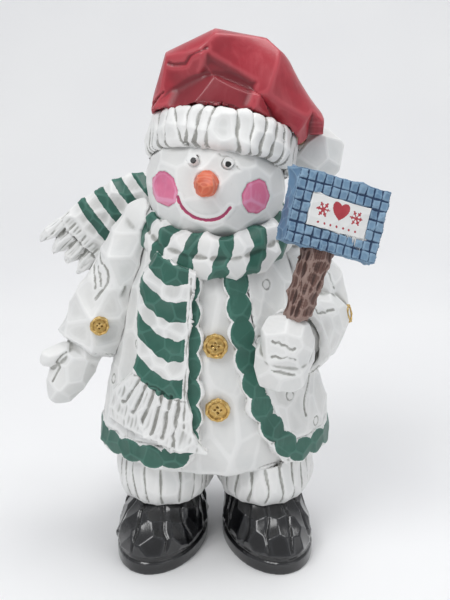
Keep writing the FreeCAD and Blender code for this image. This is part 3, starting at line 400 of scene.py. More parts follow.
BIRCH_DEEP = (0.40, 0.27, 0.15)


def white_layers(p, wash=1.0):
    """Off-white paint over carved wood: cool thin patches, a grey wash in the cuts, painted shade in the
    broad hollows, brush marks.
    """
    patches = p.noise(38.0, 4.0, 0.6)
    colour = p.mix(p.ramp(patches, 0.42, 0.70, 0.0, 0.55), WHITE, WHITE_COOL)
    speck = p.noise(900.0, 2.0, 0.6)
    hollow = p.attribute("hollow")
    uneven = p.ramp(p.noise(210.0, 4.0, 0.65), 0.35, 0.70, 0.25, 1.0)
    cut = p.math("MULTIPLY", p.ramp(hollow, 0.56, 0.92), uneven)
    # painted shade: the broad hollows of each piece are darkened towards grey
    broad_shade = p.ramp(p.attribute("wide_hollow"), 0.52, 0.85, 0.0, 0.35)
    # this mix is the real grey wash in the cuts plus the painted shade in the broad hollows; the wash
    # argument scales both
    wash_and_shade = p.math("MULTIPLY", p.math("ADD", cut, broad_shade, clamp=True), 0.85 * wash)
    colour = p.mix(wash_and_shade, colour, WASH_AND_SHADE_GREY)
    colour = p.mix(p.ramp(speck, 0.70, 0.78, 0.0, 0.25), colour, WASH_AND_SHADE_GREY)
    ridge = p.ramp(hollow, 0.46, 0.25, 0.0, 0.5)
    return p.mix(ridge, colour, RIDGE_WHITE)


def fine_bump(p, strength=1.0):
    brush = p.noise(160.0, 5.0, 0.6, stretch=(1.0, 1.0, 0.35), distortion=0.6)
    grain = p.noise(620.0, 3.0, 0.6)
    lumps = p.noise(60.0, 3.0, 0.5)
    p.bump((lumps, 0.35 * strength, 1.2), (brush, 0.45 * strength, 0.35), (grain, 0.30 * strength, 0.12))


def streaky(p, tones, streak=(1.0, 1.0, 0.3), scale=120.0):
    """A satin colour with lighter dry-brushed streaks and darker paint lying in the cuts."""
    main, light, deep = tones
    strokes = p.noise(scale, 5.0, 0.65, stretch=streak, distortion=0.9)
    patches = p.noise(45.0, 3.0, 0.55)
    colour = p.mix(p.ramp(strokes, 0.52, 0.78, 0.0, 0.6), main, light)
    colour = p.mix(p.ramp(patches, 0.55, 0.32, 0.0, 0.45), colour, deep)
    hollow = p.attribute("hollow")
    colour = p.mix(p.ramp(hollow, 0.58, 0.90, 0.0, 0.8), colour, deep)
    return p.mix(p.ramp(hollow, 0.44, 0.22, 0.0, 0.55), colour, light)


def white_paint(name):
    p = Paint(name)
    colour = white_layers(p)
    fine_bump(p)
    return p.done(colour, p.ramp(p.noise(95.0, 4.0), 0.3, 0.7, 0.38, 0.62), 0.45)


def plain_paint(name, tones, rough=(0.30, 0.50), coat=0.15, metallic=0.0, shade=None, bump=0.9, **streaks):
    """One colour all over. Where the mask named by shade is above zero, it is deeper."""
    p = Paint(name)
    colour = streaky(p, tones, **streaks)
    if shade:
        colour = p.mix(p.ramp(p.attribute(shade), -0.5, 1.5, 0.0, 0.62), colour, tones[2])
    fine_bump(p, bump)
    roughness = p.ramp(p.noise(80.0, 4.0), 0.3, 0.7, *rough)
    return p.done(colour, roughness, 0.5, coat, metallic, coat_roughness=0.25)


def masked_paint(name, *layers, edge=0.06):
    """White paint with other colours on top, each wherever its mask is above zero (in mm)."""
    p = Paint(name)
    colour = white_layers(p)
    wobble = p.ramp(p.noise(520.0, 3.0), 0.3, 0.7, -0.22, 0.22)
    for mask, tones in layers:
        inside = p.ramp(p.math("ADD", p.attribute(mask), wobble), -edge, edge)
        colour = p.mix(inside, colour, streaky(p, tones))
    fine_bump(p)
    return p.done(colour, p.ramp(p.noise(95.0, 4.0), 0.3, 0.7, 0.34, 0.55), 0.5, 0.1, coat_roughness=0.3)


def tile_paint(name):
    """Blue tiles, each with its own share of light blue, parted by dark grooves."""
    p = Paint(name)
    colour = streaky(p, (BLUE, BLUE_LIGHT, BLUE_DEEP), scale=210.0)
    colour = p.mix(p.ramp(p.attribute("tile"), 0.0, 1.0, 0.0, 0.55), colour, BLUE_LIGHT)
    gap = p.math("ADD", p.attribute("gap"), p.ramp(p.noise(600.0, 3.0), 0.3, 0.7, -0.12, 0.12))
    colour = p.mix(p.ramp(gap, -0.12, 0.12, 0.0, 0.92), colour, BLUE_DEEP)
    fine_bump(p, 1.3)
    return p.done(colour, p.ramp(p.noise(90.0, 3.0), 0.3, 0.7, 0.38, 0.60), 0.4)


GREENS = (GREEN, GREEN_LIGHT, GREEN_DEEP)
REDS = (RED, RED_LIGHT, RED_DEEP)
PINKS = (PINK, PINK_LIGHT, PINK_DEEP)
BLACKS = (BLACK, BLACK_LIGHT, BLACK_DEEP)

WHITE_PAINT = white_paint("white_paint")
SCARF_PAINT = masked_paint("scarf_paint", ("stripe", GREENS))
TRIM_PAINT = masked_paint("trim_paint", ("green", GREENS))
MOUTH_TONES = (MOUTH_PINK, PINK, PINK_DEEP)
FACE_PAINT = masked_paint("face_paint", ("cheek", PINKS), ("mouth", MOUTH_TONES), ("rim", BLACKS))
EYE_PAINT = masked_paint("eye_paint", ("pupil", BLACKS), edge=0.03)
PLAQUE_PAINT = masked_paint("plaque_paint", ("motif", (RED, RED_LIGHT, RED)), edge=0.03)
RED_PAINT = plain_paint("red_paint", REDS, (0.28, 0.44), 0.15, shade="shade")
ORANGE_PAINT = plain_paint("orange_paint", (ORANGE, ORANGE_LIGHT, ORANGE_DEEP), (0.34, 0.50), 0.1)
BLACK_GLOSS = plain_paint("black_gloss", BLACKS, (0.10, 0.24), 0.7, bump=0.7)
BARKS = (BARK, BARK_LIGHT, BARK_DEEP)
BARK_PAINT = plain_paint("bark_paint", BARKS, (0.5, 0.7), 0.0, scale=260.0, bump=1.5)
BUTTON_BRASS = plain_paint("button_brass", (BRASS, BRASS_LIGHT, BRASS_DEEP), (0.26, 0.42), 0.0, 0.85)
TILE_PAINT = tile_paint("tile_paint")

# ------------------------------------------------------------------------------------------
# Shapes and masks
# ------------------------------------------------------------------------------------------


def upright(points):
    """Down the slope of an upright body: where its cuts run."""
    out = np.zeros_like(points)
    out[:, 2] = 1.0
    return out


def ring_points(centre, normal, radius, count=20):
    normal = unit(normal)
    side = unit(np.cross(normal, (0.0, 0.0, 1.0)))
    up = np.cross(side, normal)
    turn = np.linspace(0.0, 2.0 * math.pi, count, endpoint=False)
    return np.asarray(centre) + radius * (np.cos(turn)[:, None] * side + np.sin(turn)[:, None] * up)


def depth_in(points, outline):
    """How far each 2-D point is inside an outline, in millimetres; outside it is negative."""
    outline = np.asarray(outline, dtype=float)
    best = np.full(len(points), np.inf)
    inside = np.zeros(len(points), dtype=bool)
    for a, b in zip(outline, np.roll(outline, -1, axis=0)):
        edge, off = b - a, points - a
        t = np.clip(off @ edge / (edge @ edge), 0.0, 1.0)
        best = np.minimum(best, np.linalg.norm(off - t[:, None] * edge, axis=1))
        rise = edge[1] if abs(edge[1]) > 1e-9 else 1e-9
        crossed = (points[:, 1] < a[1]) != (points[:, 1] < b[1])
        inside ^= crossed & (points[:, 0] < a[0] + (points[:, 1] - a[1]) * edge[0] / rise)
    return np.where(inside, best, -best)


def turned(z=0.0, x=0.0, y=0.0):
    """The rotation z, then x, then y, in degrees, as a matrix of columns."""
    turn = Matrix.Rotation(math.radians(z), 3, "Z")
    turn = turn @ Matrix.Rotation(math.radians(x), 3, "X") @ Matrix.Rotation(math.radians(y), 3, "Y")
    return np.array(turn)


def wave(points, axis, long_wave, short_wave, seed, count=24):
    """Soft noise from -1 to 1, with long waves along the axis and short ones across it."""
    rng = np.random.default_rng(seed)
    axis = unit(axis)
    total = np.zeros(len(points))
    for _ in range(count):
        ray = rng.normal(0.0, 1.0, 3)
        along = ray @ axis
        ray = (ray - along * axis) / short_wave + along * axis / long_wave
        total += np.sin(2.0 * math.pi * (points @ ray) + rng.uniform(0.0, 2.0 * math.pi))
    return total / math.sqrt(count)


def resampled(points, count):
    """The same row of points, smoothly at equal shares of its length."""
    points = np.asarray(points, dtype=float)
    steps = np.concatenate([[0.0], np.cumsum(np.linalg.norm(np.diff(points, axis=0), axis=1))])
    at = np.linspace(0.0, steps[-1], count)
    return np.stack([np.interp(at, steps, points[:, i]) for i in range(points.shape[1])], axis=1)


def egg(centre, radii, turns=28, rings=16):
    """A closed ellipsoid as vertices and faces."""
    verts, faces = [], []
    for i in range(1, rings):
        tip = math.pi * i / rings
        for k in range(turns):
            turn = 2.0 * math.pi * k / turns
            verts.append((math.sin(tip) * math.cos(turn), math.sin(tip) * math.sin(turn), math.cos(tip)))
    for i in range(rings - 2):
        for k in range(turns):
            a, b = i * turns + k, i * turns + (k + 1) % turns
            faces.append((a, a + turns, b + turns, b))
    faces += [tuple(range(turns)), tuple(reversed(range((rings - 2) * turns, (rings - 1) * turns)))]
    return np.asarray(centre) + np.array(verts) * np.asarray(radii), faces


def v_cut(off, width):
    return np.clip(1.0 - np.abs(off) / width, 0.0, 1.0)


# ------------------------------------------------------------------------------------------
# Tunic, coat, trims
# ------------------------------------------------------------------------------------------

# height, half width, half depth and middle (y) of the ovals that the coat is lofted through
COAT = np.array([
    (62.0, 67.5, 54.0, -5.0),
    (80.0, 66.0, 54.5, -5.0),
    (102.0, 61.5, 53.0, -5.0),
    (136.0, 53.0, 48.0, -5.0),
    (165.0, 45.5, 41.5, -4.5),
    (188.0, 37.0, 33.5, -4.0),
])
COAT_LEAN = 0.12
TRIM_HALF = 6.0
HEM_MIDDLE = 68.9
BEAD_PITCH = 14.4
FRONT_EDGE = {
    "left": [(5.0, 176.0), (9.5, 140.0), (14.0, 120.0), (21.5, 96.0), (29.0, 82.0)],
    "right": [(-7.6, 176.0), (-7.6, 140.0), (-7.6, 96.0), (-8.5, 84.0), (-11.5, 73.0)],
}
PHASE = {"left": 0.0, "right": 3.0}
BEAD_WAIST, BEAD_SWELL = 4.9, 2.8


def coat_oval(z):
    return [np.interp(z, COAT[:, 0], COAT[:, i]) for i in (1, 2, 3)]


def coat_point(turn, z):
    """A place on the coat: turn is the way round it from the front, in radians."""
    half_x, half_y, middle = coat_oval(z)
    return np.stack([half_x * np.sin(turn), middle - half_y * np.cos(turn), z], axis=-1)


def coat_turn(points):
    half_x, half_y, middle = coat_oval(points[..., 2])
    return np.arctan2(points[..., 0] / half_x, -(points[..., 1] - middle) / half_y)


def coat_normal(points):
    half_x, half_y, middle = coat_oval(points[..., 2])
    x, y = points[..., 0] / half_x**2, (points[..., 1] - middle) / half_y**2
    return unit(np.stack([x, y, COAT_LEAN * np.hypot(x, y)], axis=-1))


def trim_path(side):
    """The middle line of one trim, down the front edge, round the corner and along the hem."""
    sign = 1.0 if side == "left" else -1.0
    edge = np.array(FRONT_EDGE[side])
    edge[:, 0] += sign * TRIM_HALF
    turn = np.arcsin(edge[:, 0] / coat_oval(edge[:, 1])[0])
    round_hem = np.linspace(abs(turn[-1]) + 0.16, math.pi - 0.02, 40)
    keys = [*zip(turn, edge[:, 1]), *((sign * t, HEM_MIDDLE) for t in round_hem)]
    keys = np.array(keys)
    place = coat_point(keys[:, 0], keys[:, 1])
    length = np.concatenate([[0.0], np.cumsum(np.linalg.norm(np.diff(place, axis=0), axis=1))])
    steps = np.arange(0.0, length[-1], 0.6)
    dense = np.stack([np.interp(steps, length, keys[:, i]) for i in (0, 1)], axis=1)
    kernel = np.hanning(23) / np.hanning(23).sum()
    padded = np.pad(dense, ((11, 11), (0, 0)), mode="edge")
    smooth = np.stack([np.convolve(padded[:, i], kernel, mode="valid") for i in (0, 1)], axis=1)
    return coat_point(smooth[:, 0], smooth[:, 1]), steps


def beads(side):
    """A trim as a string of beads: its mesh, and the rows that its paint is measured from."""
    middle, steps = trim_path(side)
    normal = coat_normal(middle)
    across = unit(np.cross(normal, np.gradient(middle, axis=0)))
    swell = np.abs(np.sin(math.pi * (steps - PHASE[side]) / BEAD_PITCH)) ** 0.8
    half = BEAD_WAIST + BEAD_SWELL * swell
    shares = np.linspace(-1.0, 1.0, 11)
    section = [(-1.0, -6.0), (-1.0, -2.5)]
    section += [(t, 1.25 - 0.55 * abs(t) ** 4) for t in shares]
    section += [(1.0, -2.5), (1.0, -6.0)]
    rows = []
    for share, rise in section:
        place = middle + across * (half * share)[:, None]
        place = coat_point(coat_turn(place), place[:, 2])
        lift = rise + (0.20 * (swell - 1.0) if rise > 0.0 else 0.0)
        rows.append(place + coat_normal(place) * np.broadcast_to(lift, half.shape)[:, None])
    grid = np.stack(rows, axis=1)
    n, m = grid.shape[:2]
    faces = []
    for i in range(n - 1):
        for j in range(m):
            k = (j + 1) % m
            faces.append((i * m + j, (i + 1) * m + j, (i + 1) * m + k, i * m + k))
    faces += [tuple(range(m)), tuple(reversed(range((n - 1) * m, n * m)))]
    return (grid.reshape(-1, 3), faces), (middle, normal, across, half)


def trim_mask(points, rows):
    """Green on the beads' tops, white on their rims and sides."""
    middle, normal, across, half = rows
    mask = np.empty(len(points))
    for start in range(0, len(points), 4000):
        part = points[start:start + 4000]
        gap = part[:, None, :] - middle[None, :, :]
        near = np.argmin(np.sum(gap * gap, axis=2), axis=1)
        off = part - middle[near]
        aside = np.abs(np.sum(off * across[near], axis=1))
        height = np.sum(off * normal[near], axis=1)
        mask[start:start + 4000] = np.minimum(half[near] - 0.75 - aside, height + 0.4)
    return mask


# small plugs on each coat half: share of its width from the middle, share of its height
PLUGS = {
    ("left", -1.0): [(0.45, 0.80), (0.40, 0.55), (0.65, 0.25), (0.90, 0.05)],
    ("left", 1.0): [(0.35, 0.70), (0.60, 0.40), (0.20, 0.20)],
    ("right", -1.0): [(0.65, 0.50), (0.90, 0.25), (0.70, 0.15)],
    ("right", 1.0): [(0.40, 0.55), (0.55, 0.25)],
}
CREASE_TOP, CREASE_STEP, CREASE_SWING = np.array((54.0, 110.0)), 4.4, 1.8


def plug_places(skin, side, facing):
    """The plugs of one coat half on its front, facing -1, or on its back, facing 1."""
    shares = PLUGS[side, facing]
    if side == "right":
        shares = [(1.0 - across, up) for across, up in shares]
    return skin.drape(on_box(f"coat_{side}", shares), facing)


tunic = Skin("tunic_carved", ["tunic"], 1.1)
tunic.carve(17.0, 46.0, 0.05, 0.8, 3, upright, 2.2)
tunic.finish(WHITE_PAINT)

for side, seed in (("left", 11), ("right", 12)):
    skin = Skin(f"coat_{side}_carved", [f"coat_{side}"], 0.85)
    skin.carve(12.5, 30.0, 0.085, 1.1, seed, upright, 1.5)
    for facing in (-1.0, 1.0):
        for place in plug_places(skin, side, facing):
            skin.ring_mark(place)
    if side == "left":
        crease = [CREASE_TOP + (CREASE_SWING * math.cos(0.9 * k), -CREASE_STEP * k) for k in range(6)]
        skin.groove(skin.drape(crease), 1.0, 1.0)
    skin.finish(WHITE_PAINT)

    solid, rows = beads(side)
    skin = Skin(f"coat_trim_{side}_beads", [f"coat_trim_{side}"], 0.6, 1, extra=solid)
    skin.carve(9.0, 30.0, 0.035, 0.15, seed + 10)
    skin.finish(TRIM_PAINT, {"green": trim_mask(skin.P, rows)})

# ------------------------------------------------------------------------------------------
# Arms and legs
# ------------------------------------------------------------------------------------------

SLEEVE_CREASES = {
    "left": [[(60.0, 172.0), (67.0, 164.0), (70.0, 155.0)], [(52.0, 160.0), (58.0, 152.0), (68.0, 149.0)]],
    "right": [
        [(-71.0, 179.0), (-66.0, 173.0), (-60.5, 166.0), (-61.5, 160.0), (-68.0, 152.5)],
        [(-72.0, 172.0), (-69.5, 166.0), (-68.5, 158.0)],
        [(-67.5, 169.0), (-65.5, 164.0), (-65.0, 159.0)],
    ],
}
MITTEN_CREASES = {
    "left": [[(29.0, z), (35.0, z - 0.4), (43.5, z - 3.0)] for z in (146.5, 139.0, 131.5)],
    "right": [[(-84.0, 121.0), (-90.0, 112.0), (-95.0, 103.0)]],
}

FIST_CENTRE = centre_of("mitten_left") + (-1.6, -12.8, 9.4)
FIST_RADII = (14.5, 12.5, 17.0)

for side, seed in (("left", 31), ("right", 32)):
    skin = Skin(f"sleeve_{side}_carved", [f"sleeve_{side}"], 0.85)
    skin.carve(12.0, 26.0, 0.085, 1.2, seed)
    for crease in SLEEVE_CREASES[side]:
        skin.groove(skin.drape(resampled(crease, 12)), 1.3, 0.8)
    skin.finish(WHITE_PAINT)
    fingers = egg(FIST_CENTRE, FIST_RADII) if side == "left" else None
    skin = Skin(f"mitten_{side}_carved", [f"mitten_{side}"], 0.65, extra=fingers)
    skin.carve(9.5, 18.0, 0.09, 1.0, seed + 10)
    for crease in MITTEN_CREASES[side]:
        skin.groove(skin.drape(resampled(crease, 10)), 1.2, 0.9)
    skin.finish(WHITE_PAINT)

LEG_X, LEG_Y = 29.6, -7.0
LEG_HALF_X, LEG_HALF_Y = 37.5, 29.0
RIB_STEP = 0.205
GATHER_STEP = 0.30

for side, sign, seed in (("left", 1.0, 51), ("right", -1.0, 52)):
    skin = Skin(f"trouser_leg_{side}_carved", [f"trouser_leg_{side}"], 0.75)
    turn = np.arctan2((skin.P[:, 0] - sign * LEG_X) / LEG_HALF_X, -(skin.P[:, 1] - LEG_Y) / LEG_HALF_Y)
    turn += 0.035 * wave(skin.P, (0.0, 0.0, 1.0), 60.0, 90.0, seed)
    phase = np.mod(turn / RIB_STEP, 1.0)
    from_cut = np.minimum(phase, 1.0 - phase) * RIB_STEP * 33.0
    upright_wall = smoothstep(1.0 - np.abs(skin.N[:, 2]), 0.15, 0.5)
    rib = -0.8 * v_cut(from_cut, 0.8) - 0.6 * (1.0 - np.clip(from_cut / 3.4, 0.0, 1.0)) ** 2
    skin.push(rib * upright_wall)
    skin.carve(10.0, 26.0, 0.05, 0.5, seed + 10, upright, 2.0)
    skin.finish(WHITE_PAINT)

    skin = Skin(f"boot_{side}_carved", [f"boot_{side}"], 0.75)
    skin.carve(9.0, 20.0, 0.07, 0.6, seed + 20, where=smoothstep(skin.P[:, 2], 8.0, 11.0))
    turn = np.arctan2(skin.P[:, 0] - sign * LEG_X, -(skin.P[:, 1] + 4.0))
    reach = np.hypot(skin.P[:, 0] - sign * LEG_X, skin.P[:, 1] + 4.0)
    turn += 0.05 * wave(skin.P, (0.0, 0.0, 1.0), 40.0, 50.0, seed + 30)
    phase = np.mod(turn / GATHER_STEP, 1.0)
    from_cut = np.minimum(phase, 1.0 - phase) * GATHER_STEP * np.maximum(reach, 8.0)
    upper = smoothstep(skin.P[:, 2], 10.5, 15.0)
    skin.push(-1.0 * v_cut(from_cut, 1.3) * upper)
    skin.push(-0.7 * v_cut(skin.P[:, 2] - 9.6, 0.9))
    skin.finish(BLACK_GLOSS)

# ------------------------------------------------------------------------------------------
# Head and face
# ------------------------------------------------------------------------------------------

EYES = {side: centre_of(f"eye_{side}") for side in ("left", "right")}
LOOK = unit((-0.02, -1.0, 0.22))
PUPIL = 1.55
SOCKET_RADIUS = 3.25
NOSE = centre_of("nose")
SMILE_CENTRE = NOSE + (-0.8, 0.0, -4.8)
SMILE_RADIUS = 15.2
SMILE_FROM, SMILE_TO = math.radians(-80.0), math.radians(59.0)
CHEEK_CENTRES = (NOSE + (-23.2, 0.0, -5.3), NOSE + (25.9, 0.0, -8.2))
CHEEK_HALF_X, CHEEK_HALF_Z = 7.7, 9.6
CHEEK_CORNERS = 9
CHEEK_JITTER = 0.22


def knife_oval(centre, seed):
    """The outline of a cheek: straight knife cuts round an oval, as x, z."""
    rng = np.random.default_rng(seed)
    jitter = rng.uniform(-CHEEK_JITTER, CHEEK_JITTER, CHEEK_CORNERS)
    turn = (np.arange(CHEEK_CORNERS) + jitter) * 2.0 * math.pi / CHEEK_CORNERS
    x = centre[0] + CHEEK_HALF_X * np.cos(turn)
    z = centre[2] + CHEEK_HALF_Z * np.sin(turn)
    return np.stack([x, z], axis=1)


head = Skin("head_carved", ["head"], 0.75)
head.carve(13.0, 40.0, 0.035, 0.5, 5)
sweep_angle = np.linspace(SMILE_FROM, SMILE_TO, 60)
mouth_line = np.tile(SMILE_CENTRE, (60, 1))
mouth_line[:, 0] += SMILE_RADIUS * np.sin(sweep_angle)
mouth_line[:, 2] -= SMILE_RADIUS * np.cos(sweep_angle)
mouth_line[:, 1] = head.drape(mouth_line[:, [0, 2]])[:, 1]
mouth_line[1:-1] = (mouth_line[:-2] + mouth_line[1:-1] + mouth_line[2:]) / 3.0
from_mouth = head.groove(mouth_line, 1.3, 1.1, lip=0.25)
face = head.P[:, [0, 2]]
front = head.P[:, 1] < -12.0
ovals = [knife_oval(centre, 7 + i) for i, centre in enumerate(CHEEK_CENTRES)]
cheek = np.max([depth_in(face, oval) for oval in ovals], axis=0)
cheek = np.where(front, cheek, -5.0)
head.push(-0.25 * v_cut(cheek, 1.0))
rim = np.full(len(head.P), -5.0)
for place in EYES.values():
    centre = head.drape([(place[0], place[2])])[0]
    off = head.distance(ring_points(centre, LOOK, SOCKET_RADIUS, 24), closed=True)
    head.push(-0.5 * v_cut(off, 0.8))
    rim = np.maximum(rim, 0.36 - off)
head.finish(FACE_PAINT, {"cheek": cheek, "mouth": 1.05 - from_mouth, "rim": rim})

for side, place in EYES.items():
    skin = Skin(f"eye_{side}_painted", [f"eye_{side}"], 0.17, 4)
    off = skin.P - place
    aside = np.linalg.norm(off - (off @ LOOK)[:, None] * LOOK - np.array((0.3, 0.0, -0.25)), axis=1)
    skin.push(0.12 * smoothstep(PUPIL - aside, -0.1, 0.1))
    skin.finish(EYE_PAINT, {"pupil": PUPIL - aside})

nose = Skin("nose_carved", ["nose"], 0.35)
nose.carve(5.0, 9.0, 0.04, 0.16, 6)
nose.finish(ORANGE_PAINT)

# ------------------------------------------------------------------------------------------
# Hat
# ------------------------------------------------------------------------------------------

BAND_CENTRE = centre_of("hat_band")
BAND_TURN = turned(0.0, 0.0, 8.5) @ turned(0.0, -26.0, 0.0)
BAND_RADIUS = 42.0
RIB_NARROW, RIB_WIDE = 0.135, 0.205

band = Skin("hat_band_carved", ["hat_band"], 0.75)
local = (band.P - BAND_CENTRE) @ BAND_TURN
turn = np.arctan2(local[:, 0], -local[:, 1])
rng = np.random.default_rng(61)
cuts = np.cumsum(rng.uniform(RIB_NARROW, RIB_WIDE, 60))
cuts = cuts[cuts < 2.0 * math.pi - RIB_NARROW]
lean = rng.normal(0.0, 0.0035, len(cuts))
swerve = 0.02 * wave(band.P, (0.0, 0.0, 1.0), 25.0, 60.0, 62)
from_cut = np.full(len(band.P), np.inf)
for start, tip in zip(cuts, lean):
    off = np.mod(turn + swerve - start - tip * local[:, 2] + math.pi, 2.0 * math.pi) - math.pi
    from_cut = np.minimum(from_cut, np.abs(off) * BAND_RADIUS)
outside = smoothstep(np.hypot(local[:, 0], local[:, 1]), 33.0, 36.0)
rib = -0.7 * v_cut(from_cut, 0.9) - 0.7 * (1.0 - np.clip(from_cut / 4.0, 0.0, 1.0)) ** 2
band.push(rib * outside)
band.push(-0.08 * np.clip(-1.0 - local[:, 2], 0.0, 12.0) * outside)
band.carve(10.0, 26.0, 0.06, 0.6, 63)
band.finish(WHITE_PAINT)

# the sunken panel of the crown and the fold beside it, as shares of the crown's width and height
PANEL = [(0.05, 0.35), (0.15, 0.60), (0.30, 0.70), (0.35, 0.85), (0.65, 0.65), (0.60, 0.50), (0.70, 0.35)]
FOLD = [(0.35, 0.90), (0.25, 0.85), (0.20, 0.75), (0.10, 0.77)]

crown = Skin("hat_crown_carved", ["hat_crown"], 0.85)
crown.carve(24.0, 38.0, 0.07, 2.0, 8)
recess = np.where(crown.P[:, 1] < 2.0, depth_in(crown.P[:, [0, 2]], on_box("hat_crown", PANEL)), -5.0)
above_band = smoothstep(crown.P[:, 2], 254.0, 262.0)
crown.push(-1.1 * smoothstep(recess, -1.2, 3.5) * above_band)
crown.groove(crown.drape(resampled(on_box("hat_crown", FOLD), 12)), 1.8, 1.1)
crown.finish(RED_PAINT, {"shade": recess})

pompom = Skin("hat_pompom_carved", ["hat_pompom"], 0.6)
pompom.carve(9.5, 13.0, 0.13, 1.3, 9)
pompom.finish(WHITE_PAINT)

# ------------------------------------------------------------------------------------------
# Scarf
# ------------------------------------------------------------------------------------------

WRAP_CENTRE = centre_of("scarf_wrap")
WRAP_BANDS = 13
WRAP_FIRST = math.radians(8.0)
WRAP_RADIUS = 38.0
WRAP_SLANT = 0.0087  # radians for each millimetre of height
WRAP_HALF = 4.4

tail_low, tail_high = figure_box("scarf_front_tail")
TAIL_STRIPES = 4
TAIL_FIRST, TAIL_PITCH, TAIL_HALF = 7.0, 20.7, 5.6
SWAG = 0.028
BORDER_WIDTH, BORDER_LEAN = 8.5, 0.06
STRANDS = 6
fringe_left, fringe_right = np.array(on_box("scarf_front_tail", [(0.24, 0.38), (0.79, 0.27)]))


def wrap_stripes(points):
    """Slanting bands, evenly round the neck."""
    off = points - WRAP_CENTRE
    turn = np.arctan2(off[:, 0], -off[:, 1]) - WRAP_SLANT * off[:, 2] - WRAP_FIRST
    turn += 0.03 * wave(points, (0.0, 0.0, 1.0), 18.0, 22.0, 77)
    share = turn * WRAP_BANDS / (2.0 * math.pi)
    return WRAP_HALF - np.abs(share - np.round(share)) * 2.0 * math.pi / WRAP_BANDS * WRAP_RADIUS


def border_at(z):
    """The x of the tail's plain border at a height."""
    return tail_high[0] - BORDER_WIDTH - BORDER_LEAN * (tail_high[2] - z)


def tail_stripes(points):
    """Sagging stripes from the tail's outer edge to its plain border."""
    inward = border_at(points[:, 2]) - points[:, 0]
    sag = SWAG * (inward - 7.0) ** 2 - 2.0 + 0.8 * wave(points, (0.0, 0.0, 1.0), 40.0, 16.0, 78)
    below = tail_high[2] - TAIL_FIRST + sag - points[:, 2]
    stripe = np.clip(np.round(below / TAIL_PITCH), 0, TAIL_STRIPES - 1)
    return np.minimum(TAIL_HALF - np.abs(below - stripe * TAIL_PITCH), inward - 0.3)


wrap = Skin("scarf_wrap_carved", ["scarf_wrap"], 0.7)
wrap.carve(9.0, 15.0, 0.08, 0.7, 71)
wrap.finish(SCARF_PAINT, {"stripe": wrap_stripes(wrap.P)})

tail = Skin("scarf_front_tail_carved", ["scarf_front_tail"], 0.6)
tail.carve(9.0, 20.0, 0.06, 0.6, 72)
for k in range(STRANDS):
    top = fringe_left + (k + 1) / (STRANDS + 1) * (fringe_right - fringe_left)
    tip = top + (-10.0 + 1.2 * k, -17.0 - 2.0 * k)
    tail.groove(tail.drape(resampled([top, tip], 8)), 1.7, 2.1)
tail.groove(tail.drape(resampled([fringe_left, fringe_right], 10)), 1.0, 0.8)
border = [(border_at(z), z) for z in np.linspace(tail_high[2] - 10.0, tail_low[2] + 16.0, 12)]
tail.groove(tail.drape(border), 0.8, 0.8)
fringe = smoothstep(-tail.P[:, 2] - 0.35 * tail.P[:, 0], -98.0, -94.0)
tail.push(0.14 * wave(tail.P, (-0.3, 0.0, -1.0), 40.0, 5.0, 73) * fringe)
stripe = np.where(tail.N[:, 1] < 0.2, tail_stripes(tail.P), -5.0)
stripe = np.minimum(stripe, 20.0 * (0.5 - fringe))
tail.finish(SCARF_PAINT, {"stripe": stripe})

STREAMER_WAY = np.array((0.80, 0.0, 0.60))
STREAMER_STRIPES = 4
STREAMER_FIRST, STREAMER_PITCH, STREAMER_HALF = -22.1, 12.5, 3.1

streamer = Skin("scarf_back_tail_carved", ["scarf_back_tail"], 0.6)
streamer.carve(8.0, 16.0, 0.08, 0.6, 74)
along = (streamer.P - (0.0, 0.0, 190.0)) @ STREAMER_WAY
uneven = 0.25 * wave(streamer.P, (0.0, 1.0, 0.0), 30.0, 22.0, 75)
stripe = np.max(
    [
        STREAMER_HALF - np.abs(along - STREAMER_FIRST + k * STREAMER_PITCH + uneven)
        for k in range(STREAMER_STRIPES)
    ],
    axis=0,
)
strand = smoothstep(-along, 68.0, 71.0)
streamer.push(0.25 * wave(streamer.P, (-0.7, 0.0, -0.7), 40.0, 4.5, 76) * strand)
streamer.finish(SCARF_PAINT, {"stripe": np.where(strand > 0.2, -5.0, stripe)})

# ------------------------------------------------------------------------------------------
# Sign and buttons
# ------------------------------------------------------------------------------------------

BOARD_CENTRE = centre_of("sign_board")
BOARD_TURN = turned(22.0, -12.0, 19.0)
BOARD_WIDTH, BOARD_HEIGHT, BOARD_HALF_DEPTH = 54.0, 38.5, 5.5
COLUMNS, ROWS = 11, 7

board = Skin("sign_board_tiled", ["sign_board"], 0.42, 1)
local = (board.P - BOARD_CENTRE) @ BOARD_TURN
facing = board.N @ BOARD_TURN
u = (local[:, 0] / BOARD_WIDTH + 0.5) * COLUMNS + 0.02 * wave(board.P, (0, 1, 0), 30.0, 16.0, 81)
v = (local[:, 2] / BOARD_HEIGHT + 0.5) * ROWS + 0.02 * wave(board.P, (0, 1, 0), 30.0, 16.0, 82)
cell = BOARD_WIDTH / COLUMNS
line_off = np.minimum(np.abs(u - np.round(u)), np.abs(v - np.round(v))) * cell
tiled = smoothstep(-facing[:, 1], 0.3, 0.7)
tiled *= smoothstep(-local[:, 1], BOARD_HALF_DEPTH - 2.0, BOARD_HALF_DEPTH - 1.2)
board.push(-0.6 * v_cut(line_off, 0.75) * tiled)
shade = np.random.default_rng(83).uniform(0.0, 1.0, (COLUMNS + 2, ROWS + 2))
column = np.clip(np.floor(u), 0, COLUMNS).astype(int)
row = np.clip(np.floor(v), 0, ROWS).astype(int)
own = shade[column, row]
board.push(0.3 * (own - 0.5) * tiled * smoothstep(line_off, 0.4, 1.0))
board.carve(5.0, 12.0, 0.05, 0.25, 84)
gap = np.where(tiled > 0.5, 0.34 - line_off, -1.0)
board.finish(TILE_PAINT, {"tile": own * tiled, "gap": gap})


